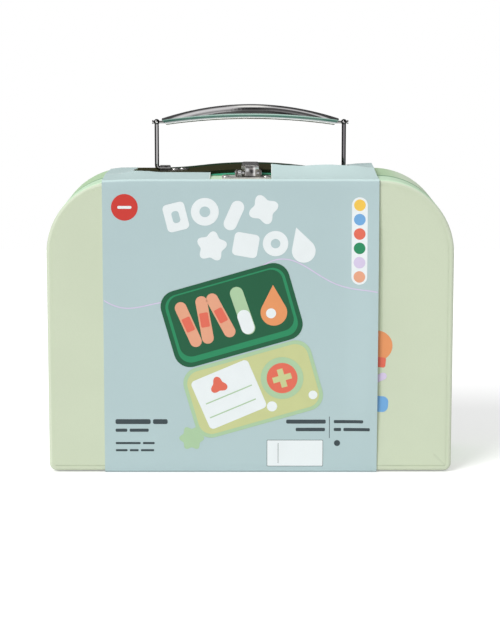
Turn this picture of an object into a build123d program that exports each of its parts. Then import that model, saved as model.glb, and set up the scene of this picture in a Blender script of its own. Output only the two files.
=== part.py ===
from build123d import *
import os
from math import sqrt

# A child's doctor case: a papered board case with a bottom hinge, a plated carrying handle, a plated
# latch, a card sleeve round it and a set of wooden doctor's tools in a padded insert.
# Millimetres. +X is to the right, +Y to the back, +Z up. The origin is on the ground, midway
# between the sides and between the front and the back. The lid is the front of the case.

# ---- Case shell ----
case_width = 275.0
case_height = 200.0
lid_depth = 32.0
base_depth = 58.0
top_radius = 50.0
bottom_radius = 5.0
panel_board = 2.5
wall_board = 2.0
rim_round = 2.2
facing_paper = 0.3
facing_margin = 4.0
lining_paper = 0.6
seam_gap = 0.3
crown_rise = 4.0
crown_half_width = 68.0

# ---- Collar that the lid closes over ----
collar_board = 1.2
collar_reach = 8.0
collar_root = 18.0
collar_web = 1.5
collar_clearance = 0.5
collar_foot_gap = 14.0

# ---- Hinge tape under the case ----
tape_thickness = 0.3
tape_reach = 12.0
tape_end_gap = 8.0

# ---- Card sleeve ----
sleeve_card = 0.5
sleeve_width = 186.0
sleeve_shift = -6.5
sleeve_slit = 0.2
latch_notch_left = -27.2
latch_notch_right = 14.2
notch_fold_margin = 1.5
window_left = -80.0
window_right = 68.5
window_drop = 6.0

# ---- Handle ----
handle_y = 16.0
leg_spacing = 130.4
leg_radius = 1.5
leg_height = 32.05
leg_bend = 2.0
ball_radius = 2.1
grip_wire_radius = 0.9
grip_wire_depth = 4.5
wire_bead_radius = 1.3
wire_bead_length = 0.8
wire_bead_gap = 0.2
grip_half_length = 61.5
grip_end_slant = 3.9
grip_width = 14.5
grip_end_width = 12.5
tray_inset = 1.0
tray_corner = 1.2
tray_end_drop = 2.3
tray_end_height = 4.0
tray_middle_height = 4.0
tray_rise = 4.7
cap_end_height = 0.8
cap_middle_height = 6.05

# ---- Handle brackets and the panel under them ----
handle_panel_thickness = 0.4
handle_panel_window_gap = 0.5
handle_panel_margin = 5.0
handle_panel_lip = 1.7
handle_panel_lip_thickness = 0.4
handle_panel_lip_half_width = 50.0
handle_panel_lid_gap = 0.3
bracket_thickness = 0.6
bracket_corner = 1.2
bracket_length = 20.0
bracket_depth = 13.0
bracket_leg_gap = 2.2
barrel_length = 7.0
barrel_wall = 0.5
barrel_lift = 1.4
pivot_clearance = 0.05
pivot_end_gap = 0.3
bracket_rivet_inset = 4.2
bracket_rivet_spacing = 5.5

# ---- Rivets ----
rivet_radius = 1.2
rivet_head_radius = 2.5
rivet_head_height = 0.8
rivet_dome_share = 0.8
rivet_tail_radius = 2.0
rivet_tail_height = 0.5
rivet_hole_clearance = 0.05
washer_radius = 4.0
washer_thickness = 0.6
washer_gap = 0.1

# ---- Latch ----
latch_plate_x = -2.8
latch_plate_y = -30.0
latch_plate_width = 33.0
latch_plate_depth = 24.0
latch_plate_thickness = 0.8
latch_plate_corner = 2.0
latch_rivet_spacing = 27.4
lever_width = 11.5
lever_skin = 1.0
lever_front_reach = 1.6
lever_overlap = 10.0
lever_seam_gap = 0.8
lever_round = 1.4
lever_facet = 2.4
lever_under_gap = 0.2
lever_toe_lift = 0.5
latch_pin_y = -32.0
latch_pin_lift = 3.4
latch_pin_radius = 1.0
latch_pin_head_radius = 1.6
latch_pin_head_length = 0.6
ear_thickness = 1.0
ear_radius = 2.5
ear_gap = 0.25
spring_wire_radius = 0.45
spring_mean_radius = 1.7
spring_turns = 3
spring_coil_pitch = 0.8
spring_leg = 4.5
catch_width = 12.0
catch_depth = 7.0
catch_front_gap = 2.5
catch_thickness = 0.8
catch_bead_radius = 0.7
catch_rivet_radius = 0.8
catch_rivet_head_radius = 1.3
catch_rivet_head_height = 0.5
catch_rivet_spacing = 7.6
lip_clearance = 0.5
lip_thickness = 2.2

# ---- Padded insert for the tools ----
insert_thickness = 14.0
insert_clearance = 0.3
pocket_clearance = 0.6
finger_groove_height = 26.0
finger_groove_depth = 8.0
finger_groove_z = 84.0
tool_seat_gap = 0.2

# ---- Places of the tools, as shares of the case's width ----
scope_share = -0.36
syringe_share = -0.19
hammer_share = -0.015
thermometer_share = 0.153
bottle_share = 0.335

# ---- Spotted scope ----
scope_z = 34.0
scope_radius = 14.0
scope_length = 88.0
scope_round = 3.0
scope_ring_radius = 15.5
scope_ring_length = 9.0
scope_lens_radius = 12.5
scope_lens_length = 5.0
scope_lens_round = 1.25
scope_ring_round = 1.1

# ---- Syringe ----
syringe_z = 30.0
nozzle_radius = 3.5
nozzle_tip_radius = 2.5
nozzle_length = 10.0
barrel_radius = 10.5
syringe_barrel_length = 78.0
syringe_bore_radius = 7.0
syringe_floor = 10.0
flange_span = 48.0
flange_depth = 16.0
flange_height = 8.0
flange_corner = 1.5
rod_radius = 4.5
rod_showing = 6.0
piston_length = 8.0
piston_gap = 1.0
plunger_clearance = 0.08
plunger_travel = 30.0
knob_radius = 9.5
knob_length = 16.0
knob_round = 2.0

# ---- Reflex hammer ----
hammer_z = 28.0
hammer_shaft_radius = 6.5
hammer_shaft_length = 104.0
hammer_head_width = 52.0
hammer_head_height = 32.0
hammer_head_depth = 24.0
hammer_crown_width = 18.0
hammer_corner = 7.0
hammer_edge = 4.0
hammer_tenon = 10.0
hammer_foot_round = 3.2

# ---- Thermometer ----
thermometer_z = 34.0
thermometer_width = 22.0
thermometer_length = 104.0
thermometer_depth = 11.0
thermometer_edge = 2.0
scale_width = 11.0
scale_length = 78.0
scale_depth = 1.2
scale_recess = 0.25
tip_radius = 3.5
tip_end_radius = 1.75
tip_length = 9.0

# ---- Bottle ----
bottle_z = 34.0
bottle_width = 54.0
bottle_height = 76.0
bottle_depth = 26.0
bottle_shoulder = 20.0
bottle_foot = 5.0
bottle_edge = 3.5
neck_radius = 8.5
neck_length = 8.0
cap_radius = 12.5
cap_length = 14.0
cap_round = 2.0
label_radius = 15.0
label_thickness = 0.8
label_z = 34.0

# ---- Levels and planes that several pieces share ----
front_y = -(lid_depth + base_depth) / 2
back_y = -front_y
seam_y = front_y + lid_depth
case_floor = sleeve_card + tape_thickness
case_top = case_floor + case_height
lid_inside_y = front_y + panel_board
base_inside_y = back_y - panel_board
tool_floor_y = base_inside_y - lining_paper
lining_inset = wall_board + lining_paper
lid_edge_y = seam_y - seam_gap
sleeve_front_y = front_y - facing_paper
sleeve_back_y = back_y + facing_paper
leg_x = leg_spacing / 2
scope_x = scope_share * case_width
syringe_x = syringe_share * case_width
hammer_x = hammer_share * case_width
thermometer_x = thermometer_share * case_width
bottle_x = bottle_share * case_width
crown_arc_radius = (crown_half_width**2 / 4 + crown_rise**2 / 4) / crown_rise

FROM_BELOW = (Align.CENTER, Align.CENTER, Align.MIN)

os.makedirs("parts", exist_ok=True)


def save(part, name):
    """Label a finished sub-part and write its file."""
    part.label = name
    export_step(part, f"parts/{name}.step")


def upright(y):
    """Plane across the case at depth y, drawn as seen from the front; it extrudes to the front."""
    return Plane.XZ.offset(-y)


def along_x(x, y, z):
    """Place for a cylinder or ring whose axis lies along X."""
    return Location(Plane(origin=(x, y, z), z_dir=(1, 0, 0)))


def crown_height(x):
    """How far the base's top stands above the flat lid at x."""
    reach = abs(x)
    if reach >= crown_half_width:
        return 0.0
    if reach >= crown_half_width / 2:
        run = crown_half_width - reach
        return crown_arc_radius - sqrt(crown_arc_radius**2 - run**2)
    return crown_rise - crown_arc_radius + sqrt(crown_arc_radius**2 - reach**2)


def case_face(inset, crowned=False):
    """Outline of the case seen from the front, drawn in from its outer edge by inset."""
    with BuildSketch() as face:
        with Locations((0, case_floor)):
            Rectangle(case_width, case_height, align=(Align.CENTER, Align.MIN))
        corners = face.vertices().group_by(Axis.Y)
        fillet(corners[-1], top_radius)
        fillet(face.vertices().group_by(Axis.Y)[0], bottom_radius)
        if crowned:
            with BuildLine():
                swell = Line((crown_half_width, case_top), (-crown_half_width, case_top))
                rise = TangentArc(
                    swell @ 1, (-crown_half_width / 2, case_top + crown_rise / 2), tangent=(1, 0)
                )
                summit = TangentArc(rise @ 1, (0, case_top + crown_rise), tangent=rise % 1)
                fall = TangentArc(
                    summit @ 1, (crown_half_width / 2, case_top + crown_rise / 2), tangent=summit % 1
                )
                TangentArc(fall @ 1, swell @ 0, tangent=fall % 1)
            make_face()
        if inset != 0:
            offset(amount=-inset)
    return face.sketch_local


def case_ring(outer, inner, crowned=False):
    """Band between two insets of the case's outline."""
    with BuildSketch() as ring:
        add(case_face(outer, crowned))
        add(case_face(inner, crowned), mode=Mode.SUBTRACT)
    return ring.sketch_local


def drill(points, radius, bottom_z, top_z):
    """Cut upright holes through the part being built."""
    with Locations(*[(x, y, bottom_z) for x, y in points]):
        Cylinder(radius, top_z - bottom_z, align=FROM_BELOW, mode=Mode.SUBTRACT)


def make_rivet(shank_radius, head_radius, head_height, grip, tail_radius, tail_height):
    """Rivet with its domed head on z = 0, a shank through the stack and a clenched tail."""
    with BuildPart() as rivet:
        Cylinder(head_radius, head_height, align=FROM_BELOW)
        fillet(rivet.edges().sort_by(Axis.Z)[-1], head_height * rivet_dome_share)
        with Locations((0, 0, -grip)):
            Cylinder(shank_radius, grip, align=FROM_BELOW)
        if tail_height > 0:
            with Locations((0, 0, -grip - tail_height)):
                Cylinder(tail_radius, tail_height, align=FROM_BELOW)
    return rivet.part


# ---- Lid: front panel, wall, papers ----
with BuildPart() as lid_panel:
    with BuildSketch(upright(lid_inside_y)):
        add(case_face(0))
    extrude(amount=panel_board)
    fillet(lid_panel.faces().sort_by(Axis.Y)[0].edges(), rim_round)

with BuildPart() as lid_wall:
    with BuildSketch(upright(lid_edge_y)):
        add(case_ring(0, wall_board))
    extrude(amount=lid_edge_y - lid_inside_y)

with BuildPart() as lid_facing:
    with BuildSketch(upright(front_y)):
        add(case_face(facing_margin))
    extrude(amount=facing_paper)

with BuildPart() as lid_lining:
    with BuildSketch(upright(lid_edge_y)):
        add(case_face(wall_board))
    extrude(amount=lid_edge_y - lid_inside_y)
    with BuildSketch(upright(lid_edge_y)):
        add(case_face(lining_inset))
    extrude(amount=lid_edge_y - lid_inside_y - lining_paper, mode=Mode.SUBTRACT)

# ---- Base: back panel, crowned wall, papers ----
with BuildPart() as base_panel:
    with BuildSketch(upright(back_y)):
        add(case_face(0, crowned=True))
    extrude(amount=panel_board)
    fillet(base_panel.faces().sort_by(Axis.Y)[-1].edges(), rim_round)

with BuildPart() as base_wall:
    with BuildSketch(upright(base_inside_y)):
        add(case_ring(0, wall_board, crowned=True))
    extrude(amount=base_inside_y - seam_y)

with BuildPart() as base_facing:
    with BuildSketch(upright(sleeve_back_y)):
        add(case_face(facing_margin))
    extrude(amount=facing_paper)

with BuildPart() as base_lining:
    with BuildSketch(upright(base_inside_y)):
        add(case_face(wall_board, crowned=True))
    extrude(amount=base_inside_y - seam_y)
    with BuildSketch(upright(tool_floor_y)):
        add(case_face(lining_inset, crowned=True))
    extrude(amount=tool_floor_y - seam_y, mode=Mode.SUBTRACT)

# ---- Collar: glued round the inside of the base, it stands into the lid ----
collar_lid_inset = lining_inset + collar_clearance
collar_inner_inset = collar_lid_inset + collar_board

with BuildPart() as base_collar:
    with BuildSketch(upright(seam_y + collar_root)):
        add(case_ring(lining_inset, collar_inner_inset, crowned=True))
    extrude(amount=collar_root)
    with BuildSketch(upright(seam_y + collar_web)):
        add(case_face(lining_inset, crowned=True))
        add(case_face(collar_inner_inset), mode=Mode.SUBTRACT)
    extrude(amount=collar_web)
    with BuildSketch(upright(seam_y)):
        add(case_ring(collar_lid_inset, collar_inner_inset))
    extrude(amount=collar_reach)
    with BuildSketch(Plane.XY):
        with Locations((0, seam_y)):
            Rectangle(case_width, 2 * (collar_reach + collar_root))
    extrude(amount=case_floor + collar_foot_gap, mode=Mode.SUBTRACT)

# ---- Hinge tape: one cloth strip glued under both halves, kept as its two glued leaves ----
tape_length = case_width - 2 * (bottom_radius + tape_end_gap)


def make_tape(near_y, far_y):
    """Leaf of the hinge tape between two depths, against the underside of the case."""
    with BuildPart() as tape:
        with BuildSketch(Plane.XY.offset(sleeve_card)):
            with Locations((0, (near_y + far_y) / 2)):
                Rectangle(tape_length, far_y - near_y)
        extrude(amount=tape_thickness)
    return tape.part


tape_lid = make_tape(lid_edge_y - tape_reach, lid_edge_y)
tape_base = make_tape(seam_y, seam_y + tape_reach)

# ---- Card sleeve: slit along the seam, its front goes with the lid ----
strip_front_end = seam_y - seam_gap - sleeve_slit
strip_back_end = seam_y + sleeve_slit
sleeve_top = case_top + sleeve_card

with BuildPart() as sleeve_front:
    with BuildSketch(upright(sleeve_front_y)):
        with Locations((sleeve_shift, 0)):
            Rectangle(sleeve_width, sleeve_top, align=(Align.CENTER, Align.MIN))
    extrude(amount=sleeve_card)
    with BuildSketch(Plane.XY, Plane.XY.offset(case_top)):
        with Locations((sleeve_shift, sleeve_front_y)):
            Rectangle(sleeve_width, strip_front_end - sleeve_front_y, align=(Align.CENTER, Align.MIN))
    extrude(amount=sleeve_card)
    with BuildSketch(Plane.XY.offset(case_top)):
        with Locations(((latch_notch_left + latch_notch_right) / 2, front_y + notch_fold_margin)):
            Rectangle(
                latch_notch_right - latch_notch_left, lid_depth, align=(Align.CENTER, Align.MIN)
            )
    extrude(amount=sleeve_card, mode=Mode.SUBTRACT)

with BuildPart() as sleeve_back:
    with BuildSketch(upright(sleeve_back_y + sleeve_card)):
        with Locations((sleeve_shift, 0)):
            Rectangle(sleeve_width, sleeve_top, align=(Align.CENTER, Align.MIN))
    extrude(amount=sleeve_card)
    with BuildSketch(Plane.XY, Plane.XY.offset(case_top)):
        with Locations((sleeve_shift, sleeve_back_y)):
            Rectangle(sleeve_width, sleeve_back_y - strip_back_end, align=(Align.CENTER, Align.MAX))
    extrude(amount=sleeve_card)
    with BuildSketch(Plane.XY.offset(sleeve_top)):
        with Locations(((window_left + window_right) / 2, sleeve_back_y + sleeve_card)):
            Rectangle(window_right - window_left, base_depth + collar_reach, align=(Align.CENTER, Align.MAX))
    extrude(amount=-window_drop, mode=Mode.SUBTRACT)

# ---- Handle panel: stiff board on the crowned top that carries the brackets ----
handle_panel_left = window_left + handle_panel_window_gap
handle_panel_right = window_right - handle_panel_window_gap

with BuildPart() as handle_panel:
    with BuildSketch(upright(back_y - handle_panel_margin)):
        add(case_ring(-handle_panel_thickness, 0, crowned=True))
        with Locations(((handle_panel_left + handle_panel_right) / 2, case_top)):
            Rectangle(
                handle_panel_right - handle_panel_left,
                case_height,
                mode=Mode.INTERSECT,
            )
    extrude(amount=back_y - handle_panel_margin - seam_y)
    with BuildSketch(upright(seam_y)):
        add(case_ring(-handle_panel_thickness, handle_panel_lip, crowned=True))
        with Locations((0, case_top + handle_panel_lid_gap)):
            Rectangle(
                2 * handle_panel_lip_half_width,
                case_height,
                align=(Align.CENTER, Align.MIN),
                mode=Mode.INTERSECT,
            )
    extrude(amount=handle_panel_lip_thickness)

# ---- Handle brackets: a foot shaped to the crown below, with the barrel that holds the leg ----
bracket_outer_x = leg_x - bracket_leg_gap
bracket_inner_x = bracket_outer_x - bracket_length
handle_axis_z = case_top + handle_panel_thickness + bracket_thickness + barrel_lift
ball_z = handle_axis_z + leg_height
bracket_rivet_x = bracket_inner_x + bracket_rivet_inset
bracket_rivet_xs = [bracket_rivet_x, bracket_rivet_x + bracket_rivet_spacing]
handle_rivet_points = [(side * x, handle_y) for side in (-1, 1) for x in bracket_rivet_xs]
barrel_outer_x = leg_x - leg_bend - pivot_end_gap
barrel_middle_x = barrel_outer_x - barrel_length / 2
hole_radius = rivet_radius + rivet_hole_clearance
rivet_seat_radius = rivet_head_radius + rivet_hole_clearance


def rivet_seat(x):
    """Height of the bracket's foot at x, where a rivet's head is seated level in it."""
    return case_top + crown_height(x) + handle_panel_thickness + bracket_thickness


def make_bracket(side):
    """Bracket on one side of the handle; side is -1 for the left and 1 for the right."""
    with BuildPart() as bracket:
        with BuildSketch(upright(handle_y + bracket_depth / 2)):
            add(
                case_ring(
                    -handle_panel_thickness - bracket_thickness, -handle_panel_thickness, crowned=True
                )
            )
            with Locations((side * (bracket_outer_x + bracket_inner_x) / 2, case_top)):
                Rectangle(bracket_length, 2 * crown_rise, mode=Mode.INTERSECT)
        extrude(amount=bracket_depth)
        fillet(bracket.edges().filter_by(Axis.Z), bracket_corner)
        with Locations(along_x(side * barrel_middle_x, handle_y, handle_axis_z)):
            Cylinder(leg_radius + pivot_clearance + barrel_wall, barrel_length)
        with BuildSketch(upright(handle_y + bracket_depth)):
            add(case_face(-handle_panel_thickness, crowned=True))
        extrude(amount=2 * bracket_depth, mode=Mode.SUBTRACT)
        with Locations(along_x(side * barrel_middle_x, handle_y, handle_axis_z)):
            Cylinder(leg_radius + pivot_clearance, 2 * barrel_length, mode=Mode.SUBTRACT)
        for x in bracket_rivet_xs:
            drill([(side * x, handle_y)], hole_radius, case_top, rivet_seat(x))
            drill([(side * x, handle_y)], rivet_seat_radius, rivet_seat(x), handle_axis_z)
    return bracket.part


bracket_left = make_bracket(-1)
bracket_right = make_bracket(1)

# ---- Rivets and washers that hold the brackets ----
washer_x = bracket_rivet_x + bracket_rivet_spacing / 2
washer_end_x = washer_x + bracket_rivet_spacing / 2 + washer_radius
washer_top = case_top + crown_height(washer_end_x) - lining_inset - washer_gap

with BuildPart() as handle_rivets:
    for x in bracket_rivet_xs:
        handle_rivet = make_rivet(
            rivet_radius,
            rivet_head_radius,
            rivet_head_height,
            rivet_seat(x) - washer_top + washer_thickness,
            rivet_tail_radius,
            rivet_tail_height,
        )
        with Locations((-x, handle_y, rivet_seat(x)), (x, handle_y, rivet_seat(x))):
            add(handle_rivet)

with BuildPart() as rivet_washers:
    with BuildSketch(Plane.XY.offset(washer_top)):
        for side in (-1, 1):
            with Locations((side * washer_x, handle_y)):
                SlotCenterToCenter(bracket_rivet_spacing, 2 * washer_radius)
        with Locations(*handle_rivet_points):
            Circle(hole_radius, mode=Mode.SUBTRACT)
    extrude(amount=-washer_thickness)


# ---- Handle: two wire legs, their grip wires, and a pressed grip of a cap on a tray ----
def make_leg(side):
    """Wire leg: pivot in the bracket's barrel, upright wire and a pierced ball at the top."""
    pivot_end_x = barrel_outer_x - barrel_length - pivot_end_gap
    with BuildPart() as leg:
        with BuildLine(upright(handle_y)) as route:
            FilletPolyline(
                (side * pivot_end_x, handle_axis_z),
                (side * leg_x, handle_axis_z),
                (side * leg_x, ball_z),
                radius=leg_bend,
            )
        with BuildSketch(Plane(origin=route.line @ 0, z_dir=route.line % 0)):
            Circle(leg_radius)
        sweep()
        with Locations(along_x(side * leg_x, handle_y, ball_z)):
            Sphere(ball_radius)
            Cylinder(grip_wire_radius, 4 * ball_radius, mode=Mode.SUBTRACT)
    return leg.part


leg_left = make_leg(-1)
leg_right = make_leg(1)


def arch(x, end_value, middle_value):
    """Height of a line of the grip at x, between its ends and its middle."""
    return middle_value - (middle_value - end_value) * (x / grip_half_length) ** 2


tray_end_z = ball_z - tray_end_drop
tray_middle_z = tray_end_z + tray_rise
grip_stations = [grip_half_length * share for share in (-1, -0.5, 0, 0.5, 1)]
grip_wire_end_x = grip_half_length - grip_wire_depth

with BuildPart() as grip_tray:
    for x in grip_stations:
        width = arch(x, grip_end_width, grip_width) - 2 * tray_inset
        bottom = arch(x, tray_end_z, tray_middle_z)
        height = arch(x, tray_end_height, tray_middle_height)
        with BuildSketch(Plane.YZ.offset(x)) as section:
            with Locations((handle_y, bottom)):
                Rectangle(width, height, align=(Align.CENTER, Align.MIN))
            fillet(section.vertices().group_by(Axis.Y)[0], tray_corner)
    loft()
    with BuildSketch(upright(handle_y)):
        for side in (-1, 1):
            with BuildLine():
                Polyline(
                    (side * grip_half_length, tray_end_z + tray_end_height),
                    (side * (grip_half_length - grip_end_slant), tray_end_z),
                    (side * (grip_half_length + grip_end_slant), tray_end_z - tray_end_drop),
                    (side * grip_half_length, tray_end_z + tray_end_height),
                )
            make_face()
    extrude(amount=grip_width, both=True, mode=Mode.SUBTRACT)
    with Locations(
        along_x(-grip_wire_end_x, handle_y, ball_z),
        along_x(grip_wire_end_x, handle_y, ball_z),
    ):
        Cylinder(grip_wire_radius, 2 * grip_wire_depth, mode=Mode.SUBTRACT)

with BuildPart() as grip_cap:
    for x in grip_stations:
        half_width = arch(x, grip_end_width, grip_width) / 2
        seat = arch(x, tray_end_z + tray_end_height, tray_middle_z + tray_middle_height)
        top = seat + arch(x, cap_end_height, cap_middle_height)
        with BuildSketch(Plane.YZ.offset(x)):
            with BuildLine():
                dome = ThreePointArc(
                    (handle_y - half_width, seat), (handle_y, top), (handle_y + half_width, seat)
                )
                Line(dome @ 1, dome @ 0)
            make_face()
    loft()

with BuildPart() as grip_wires:
    wire_start_x = leg_x + ball_radius + wire_bead_gap
    wire_stop_x = grip_half_length - 2 * grip_wire_depth
    for side in (-1, 1):
        wire_middle_x = side * (wire_start_x + wire_stop_x) / 2
        with Locations(along_x(wire_middle_x, handle_y, ball_z)):
            Cylinder(grip_wire_radius, wire_start_x - wire_stop_x)
        with Locations(along_x(side * (wire_start_x + wire_bead_length / 2), handle_y, ball_z)):
            Cylinder(wire_bead_radius, wire_bead_length)

# ---- Latch on the lid: plate with two ears, pin, torsion spring and lever ----
plate_top = case_top + latch_plate_thickness
latch_pin_z = case_top + latch_pin_lift
lever_half = lever_width / 2
spring_length = (spring_turns - 1) * spring_coil_pitch + 2 * spring_wire_radius
right_ear_x = lever_half + ear_gap
left_ear_x = -lever_half - spring_length - 2 * ear_gap - ear_thickness
latch_rivet_points = [
    (latch_plate_x + side * latch_rivet_spacing / 2, latch_plate_y) for side in (-1, 1)
]

with BuildPart() as latch_plate:
    with BuildSketch(Plane.XY.offset(case_top)):
        with Locations((latch_plate_x, latch_plate_y)):
            RectangleRounded(latch_plate_width, latch_plate_depth, latch_plate_corner)
    extrude(amount=latch_plate_thickness)
    with BuildSketch(Plane.YZ.offset(left_ear_x), Plane.YZ.offset(right_ear_x)):
        with Locations((latch_pin_y, latch_pin_z)):
            Circle(ear_radius)
        with Locations((latch_pin_y, case_top)):
            Rectangle(2 * ear_radius, latch_pin_lift, align=(Align.CENTER, Align.MIN))
    extrude(amount=ear_thickness)
    with Locations(along_x(0, latch_pin_y, latch_pin_z)):
        Cylinder(latch_pin_radius + pivot_clearance, latch_plate_width, mode=Mode.SUBTRACT)
    drill(latch_rivet_points, hole_radius, case_top, plate_top)

with BuildPart() as latch_pin:
    pin_left_x = left_ear_x
    pin_right_x = right_ear_x + ear_thickness
    with Locations(along_x((pin_left_x + pin_right_x) / 2, latch_pin_y, latch_pin_z)):
        Cylinder(latch_pin_radius, pin_right_x - pin_left_x)
    for x in (pin_left_x - latch_pin_head_length / 2, pin_right_x + latch_pin_head_length / 2):
        with Locations(along_x(x, latch_pin_y, latch_pin_z)):
            Cylinder(latch_pin_head_radius, latch_pin_head_length)

with BuildPart() as latch_spring:
    first_coil_x = -lever_half - ear_gap - spring_wire_radius
    for turn in range(spring_turns):
        coil_x = first_coil_x - turn * spring_coil_pitch
        with Locations(along_x(coil_x, latch_pin_y, latch_pin_z)):
            Torus(spring_mean_radius, spring_wire_radius)
    last_coil_x = first_coil_x - (spring_turns - 1) * spring_coil_pitch
    with BuildSketch(upright(latch_pin_y - spring_wire_radius)):
        with Locations((last_coil_x, latch_pin_z - spring_mean_radius)):
            Circle(spring_wire_radius)
    extrude(amount=-spring_leg)

catch_top = case_top + crown_rise + handle_panel_thickness + catch_thickness
lip_under = catch_top + catch_bead_radius + lip_clearance
lever_top = lip_under + lip_thickness
lever_front = latch_pin_y - lever_front_reach
lever_bottom = plate_top + lever_under_gap
lever_box_back = seam_y - lever_seam_gap

with BuildPart() as latch_lever:
    with BuildSketch(Plane.YZ.offset(-lever_half)):
        with BuildLine():
            Polyline(
                (lever_front, lever_bottom + lever_toe_lift),
                (lever_front, lever_top),
                (seam_y + lever_overlap, lever_top),
                (seam_y + lever_overlap, lip_under),
                (lever_box_back, lip_under),
                (lever_box_back, lever_bottom),
                (latch_pin_y, lever_bottom),
                (lever_front, lever_bottom + lever_toe_lift),
            )
        make_face()
    extrude(amount=lever_width)
    front_edges = latch_lever.edges().filter_by(Axis.Z).group_by(Axis.Y)[0]
    chamfer(front_edges, lever_facet)
    roof = latch_lever.faces().sort_by(Axis.Z)[-1]
    fillet(roof.edges().sort_by(Axis.Y)[:-1], lever_round)
    with BuildSketch(Plane.XY.offset(lever_bottom)) as hollow:
        with Locations((0, (lever_front + lever_box_back) / 2)):
            Rectangle(lever_width - 2 * lever_skin, lever_box_back - lever_front - 2 * lever_skin)
        chamfer(hollow.vertices().group_by(Axis.Y)[0], lever_facet)
    extrude(amount=lever_top - lever_bottom - lever_round, mode=Mode.SUBTRACT)
    with Locations(along_x(0, latch_pin_y, latch_pin_z)):
        Cylinder(latch_pin_radius + pivot_clearance, 2 * lever_width, mode=Mode.SUBTRACT)

latch_rivet = make_rivet(
    rivet_radius,
    rivet_head_radius,
    rivet_head_height,
    latch_plate_thickness + lining_inset,
    rivet_tail_radius,
    rivet_tail_height,
)

with BuildPart() as latch_rivets:
    with Locations(*[(x, y, plate_top) for x, y in latch_rivet_points]):
        add(latch_rivet)

# ---- Catch on the base: a plate with a bead that the lever's lip snaps past ----
catch_front_y = seam_y + catch_front_gap
catch_rivet_y = catch_front_y + catch_rivet_head_radius + catch_bead_radius / 2
catch_rivet_points = [(side * catch_rivet_spacing / 2, catch_rivet_y) for side in (-1, 1)]
catch_hole_radius = catch_rivet_radius + rivet_hole_clearance

with BuildPart() as latch_catch:
    with BuildSketch(upright(catch_front_y + catch_depth)):
        with Locations((0, catch_top)):
            Rectangle(catch_width, 3 * catch_thickness, align=(Align.CENTER, Align.MAX))
        add(case_face(-handle_panel_thickness, crowned=True), mode=Mode.SUBTRACT)
    extrude(amount=catch_depth)
    bead_y = catch_front_y + catch_depth - 2 * catch_bead_radius
    with Locations(along_x(0, bead_y, catch_top)):
        Cylinder(catch_bead_radius, catch_width)
    drill(catch_rivet_points, catch_hole_radius, case_top, catch_top)

catch_rivet = make_rivet(
    catch_rivet_radius,
    catch_rivet_head_radius,
    catch_rivet_head_height,
    catch_thickness + handle_panel_thickness + wall_board,
    0,
    0,
)

with BuildPart() as catch_rivets:
    with Locations(*[(x, y, catch_top) for x, y in catch_rivet_points]):
        add(catch_rivet)

# ---- Holes through the boards and papers for the rivets ----
with lid_wall:
    drill(latch_rivet_points, hole_radius, case_top - 2 * wall_board, case_top)
with lid_lining:
    drill(latch_rivet_points, hole_radius, case_top - 2 * lining_inset, case_top)
with handle_panel:
    drill(handle_rivet_points, hole_radius, case_top, catch_top)
    drill(catch_rivet_points, catch_hole_radius, case_top, catch_top)
with base_wall:
    drill(handle_rivet_points, hole_radius, case_top - 2 * wall_board, catch_top)
    drill(catch_rivet_points, catch_hole_radius, case_top, catch_top)
with base_lining:
    drill(handle_rivet_points, hole_radius, case_top - 2 * lining_inset, catch_top)

# ---- Spotted scope ----
scope_y = tool_floor_y - tool_seat_gap - scope_ring_radius
scope_ring_z = scope_z + scope_lens_length
scope_body_z = scope_ring_z + scope_ring_length

with BuildPart() as scope_lens:
    with Locations((scope_x, scope_y, scope_z)):
        Cylinder(scope_lens_radius, scope_lens_length, align=FROM_BELOW)
    fillet(scope_lens.edges().sort_by(Axis.Z)[0], scope_lens_round)

with BuildPart() as scope_ring:
    with Locations((scope_x, scope_y, scope_ring_z)):
        Cylinder(scope_ring_radius, scope_ring_length, align=FROM_BELOW)
    fillet(scope_ring.edges().filter_by(GeomType.CIRCLE), scope_ring_round)

with BuildPart() as scope_body:
    with Locations((scope_x, scope_y, scope_body_z)):
        Cylinder(scope_radius, scope_length, align=FROM_BELOW)
    fillet(scope_body.edges().sort_by(Axis.Z)[-1], scope_round)

# ---- Syringe: the plunger slides in the barrel ----
syringe_y = tool_floor_y - tool_seat_gap - barrel_radius
syringe_barrel_z = syringe_z + nozzle_length
flange_z = syringe_barrel_z + syringe_barrel_length
knob_z = flange_z + flange_height + rod_showing
piston_z = syringe_barrel_z + syringe_floor + piston_gap
piston_radius = syringe_bore_radius - plunger_clearance

with BuildPart() as syringe_nozzle:
    with Locations((syringe_x, syringe_y, syringe_z)):
        Cone(nozzle_tip_radius, nozzle_radius, nozzle_length, align=FROM_BELOW)

with BuildPart() as syringe_barrel:
    with Locations((syringe_x, syringe_y, syringe_barrel_z)):
        Cylinder(barrel_radius, syringe_barrel_length, align=FROM_BELOW)
    fillet(syringe_barrel.edges().sort_by(Axis.Z)[0], scope_round)
    with Locations((syringe_x, syringe_y, syringe_barrel_z + syringe_floor)):
        Cylinder(
            syringe_bore_radius,
            syringe_barrel_length - syringe_floor,
            align=FROM_BELOW,
            mode=Mode.SUBTRACT,
        )

with BuildPart() as syringe_flange:
    with BuildSketch(Plane.XY.offset(flange_z)):
        with Locations((syringe_x, syringe_y)):
            RectangleRounded(flange_span, flange_depth, flange_corner)
            Circle(rod_radius + plunger_clearance, mode=Mode.SUBTRACT)
    extrude(amount=flange_height)

with BuildPart() as syringe_plunger:
    with Locations((syringe_x, syringe_y, piston_z)):
        Cylinder(piston_radius, piston_length, align=FROM_BELOW)
        Cylinder(rod_radius, knob_z - piston_z, align=FROM_BELOW)

with BuildPart() as plunger_knob:
    with Locations((syringe_x, syringe_y, knob_z)):
        Cylinder(knob_radius, knob_length, align=FROM_BELOW)
    fillet(plunger_knob.edges().filter_by(GeomType.CIRCLE), knob_round)

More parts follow.
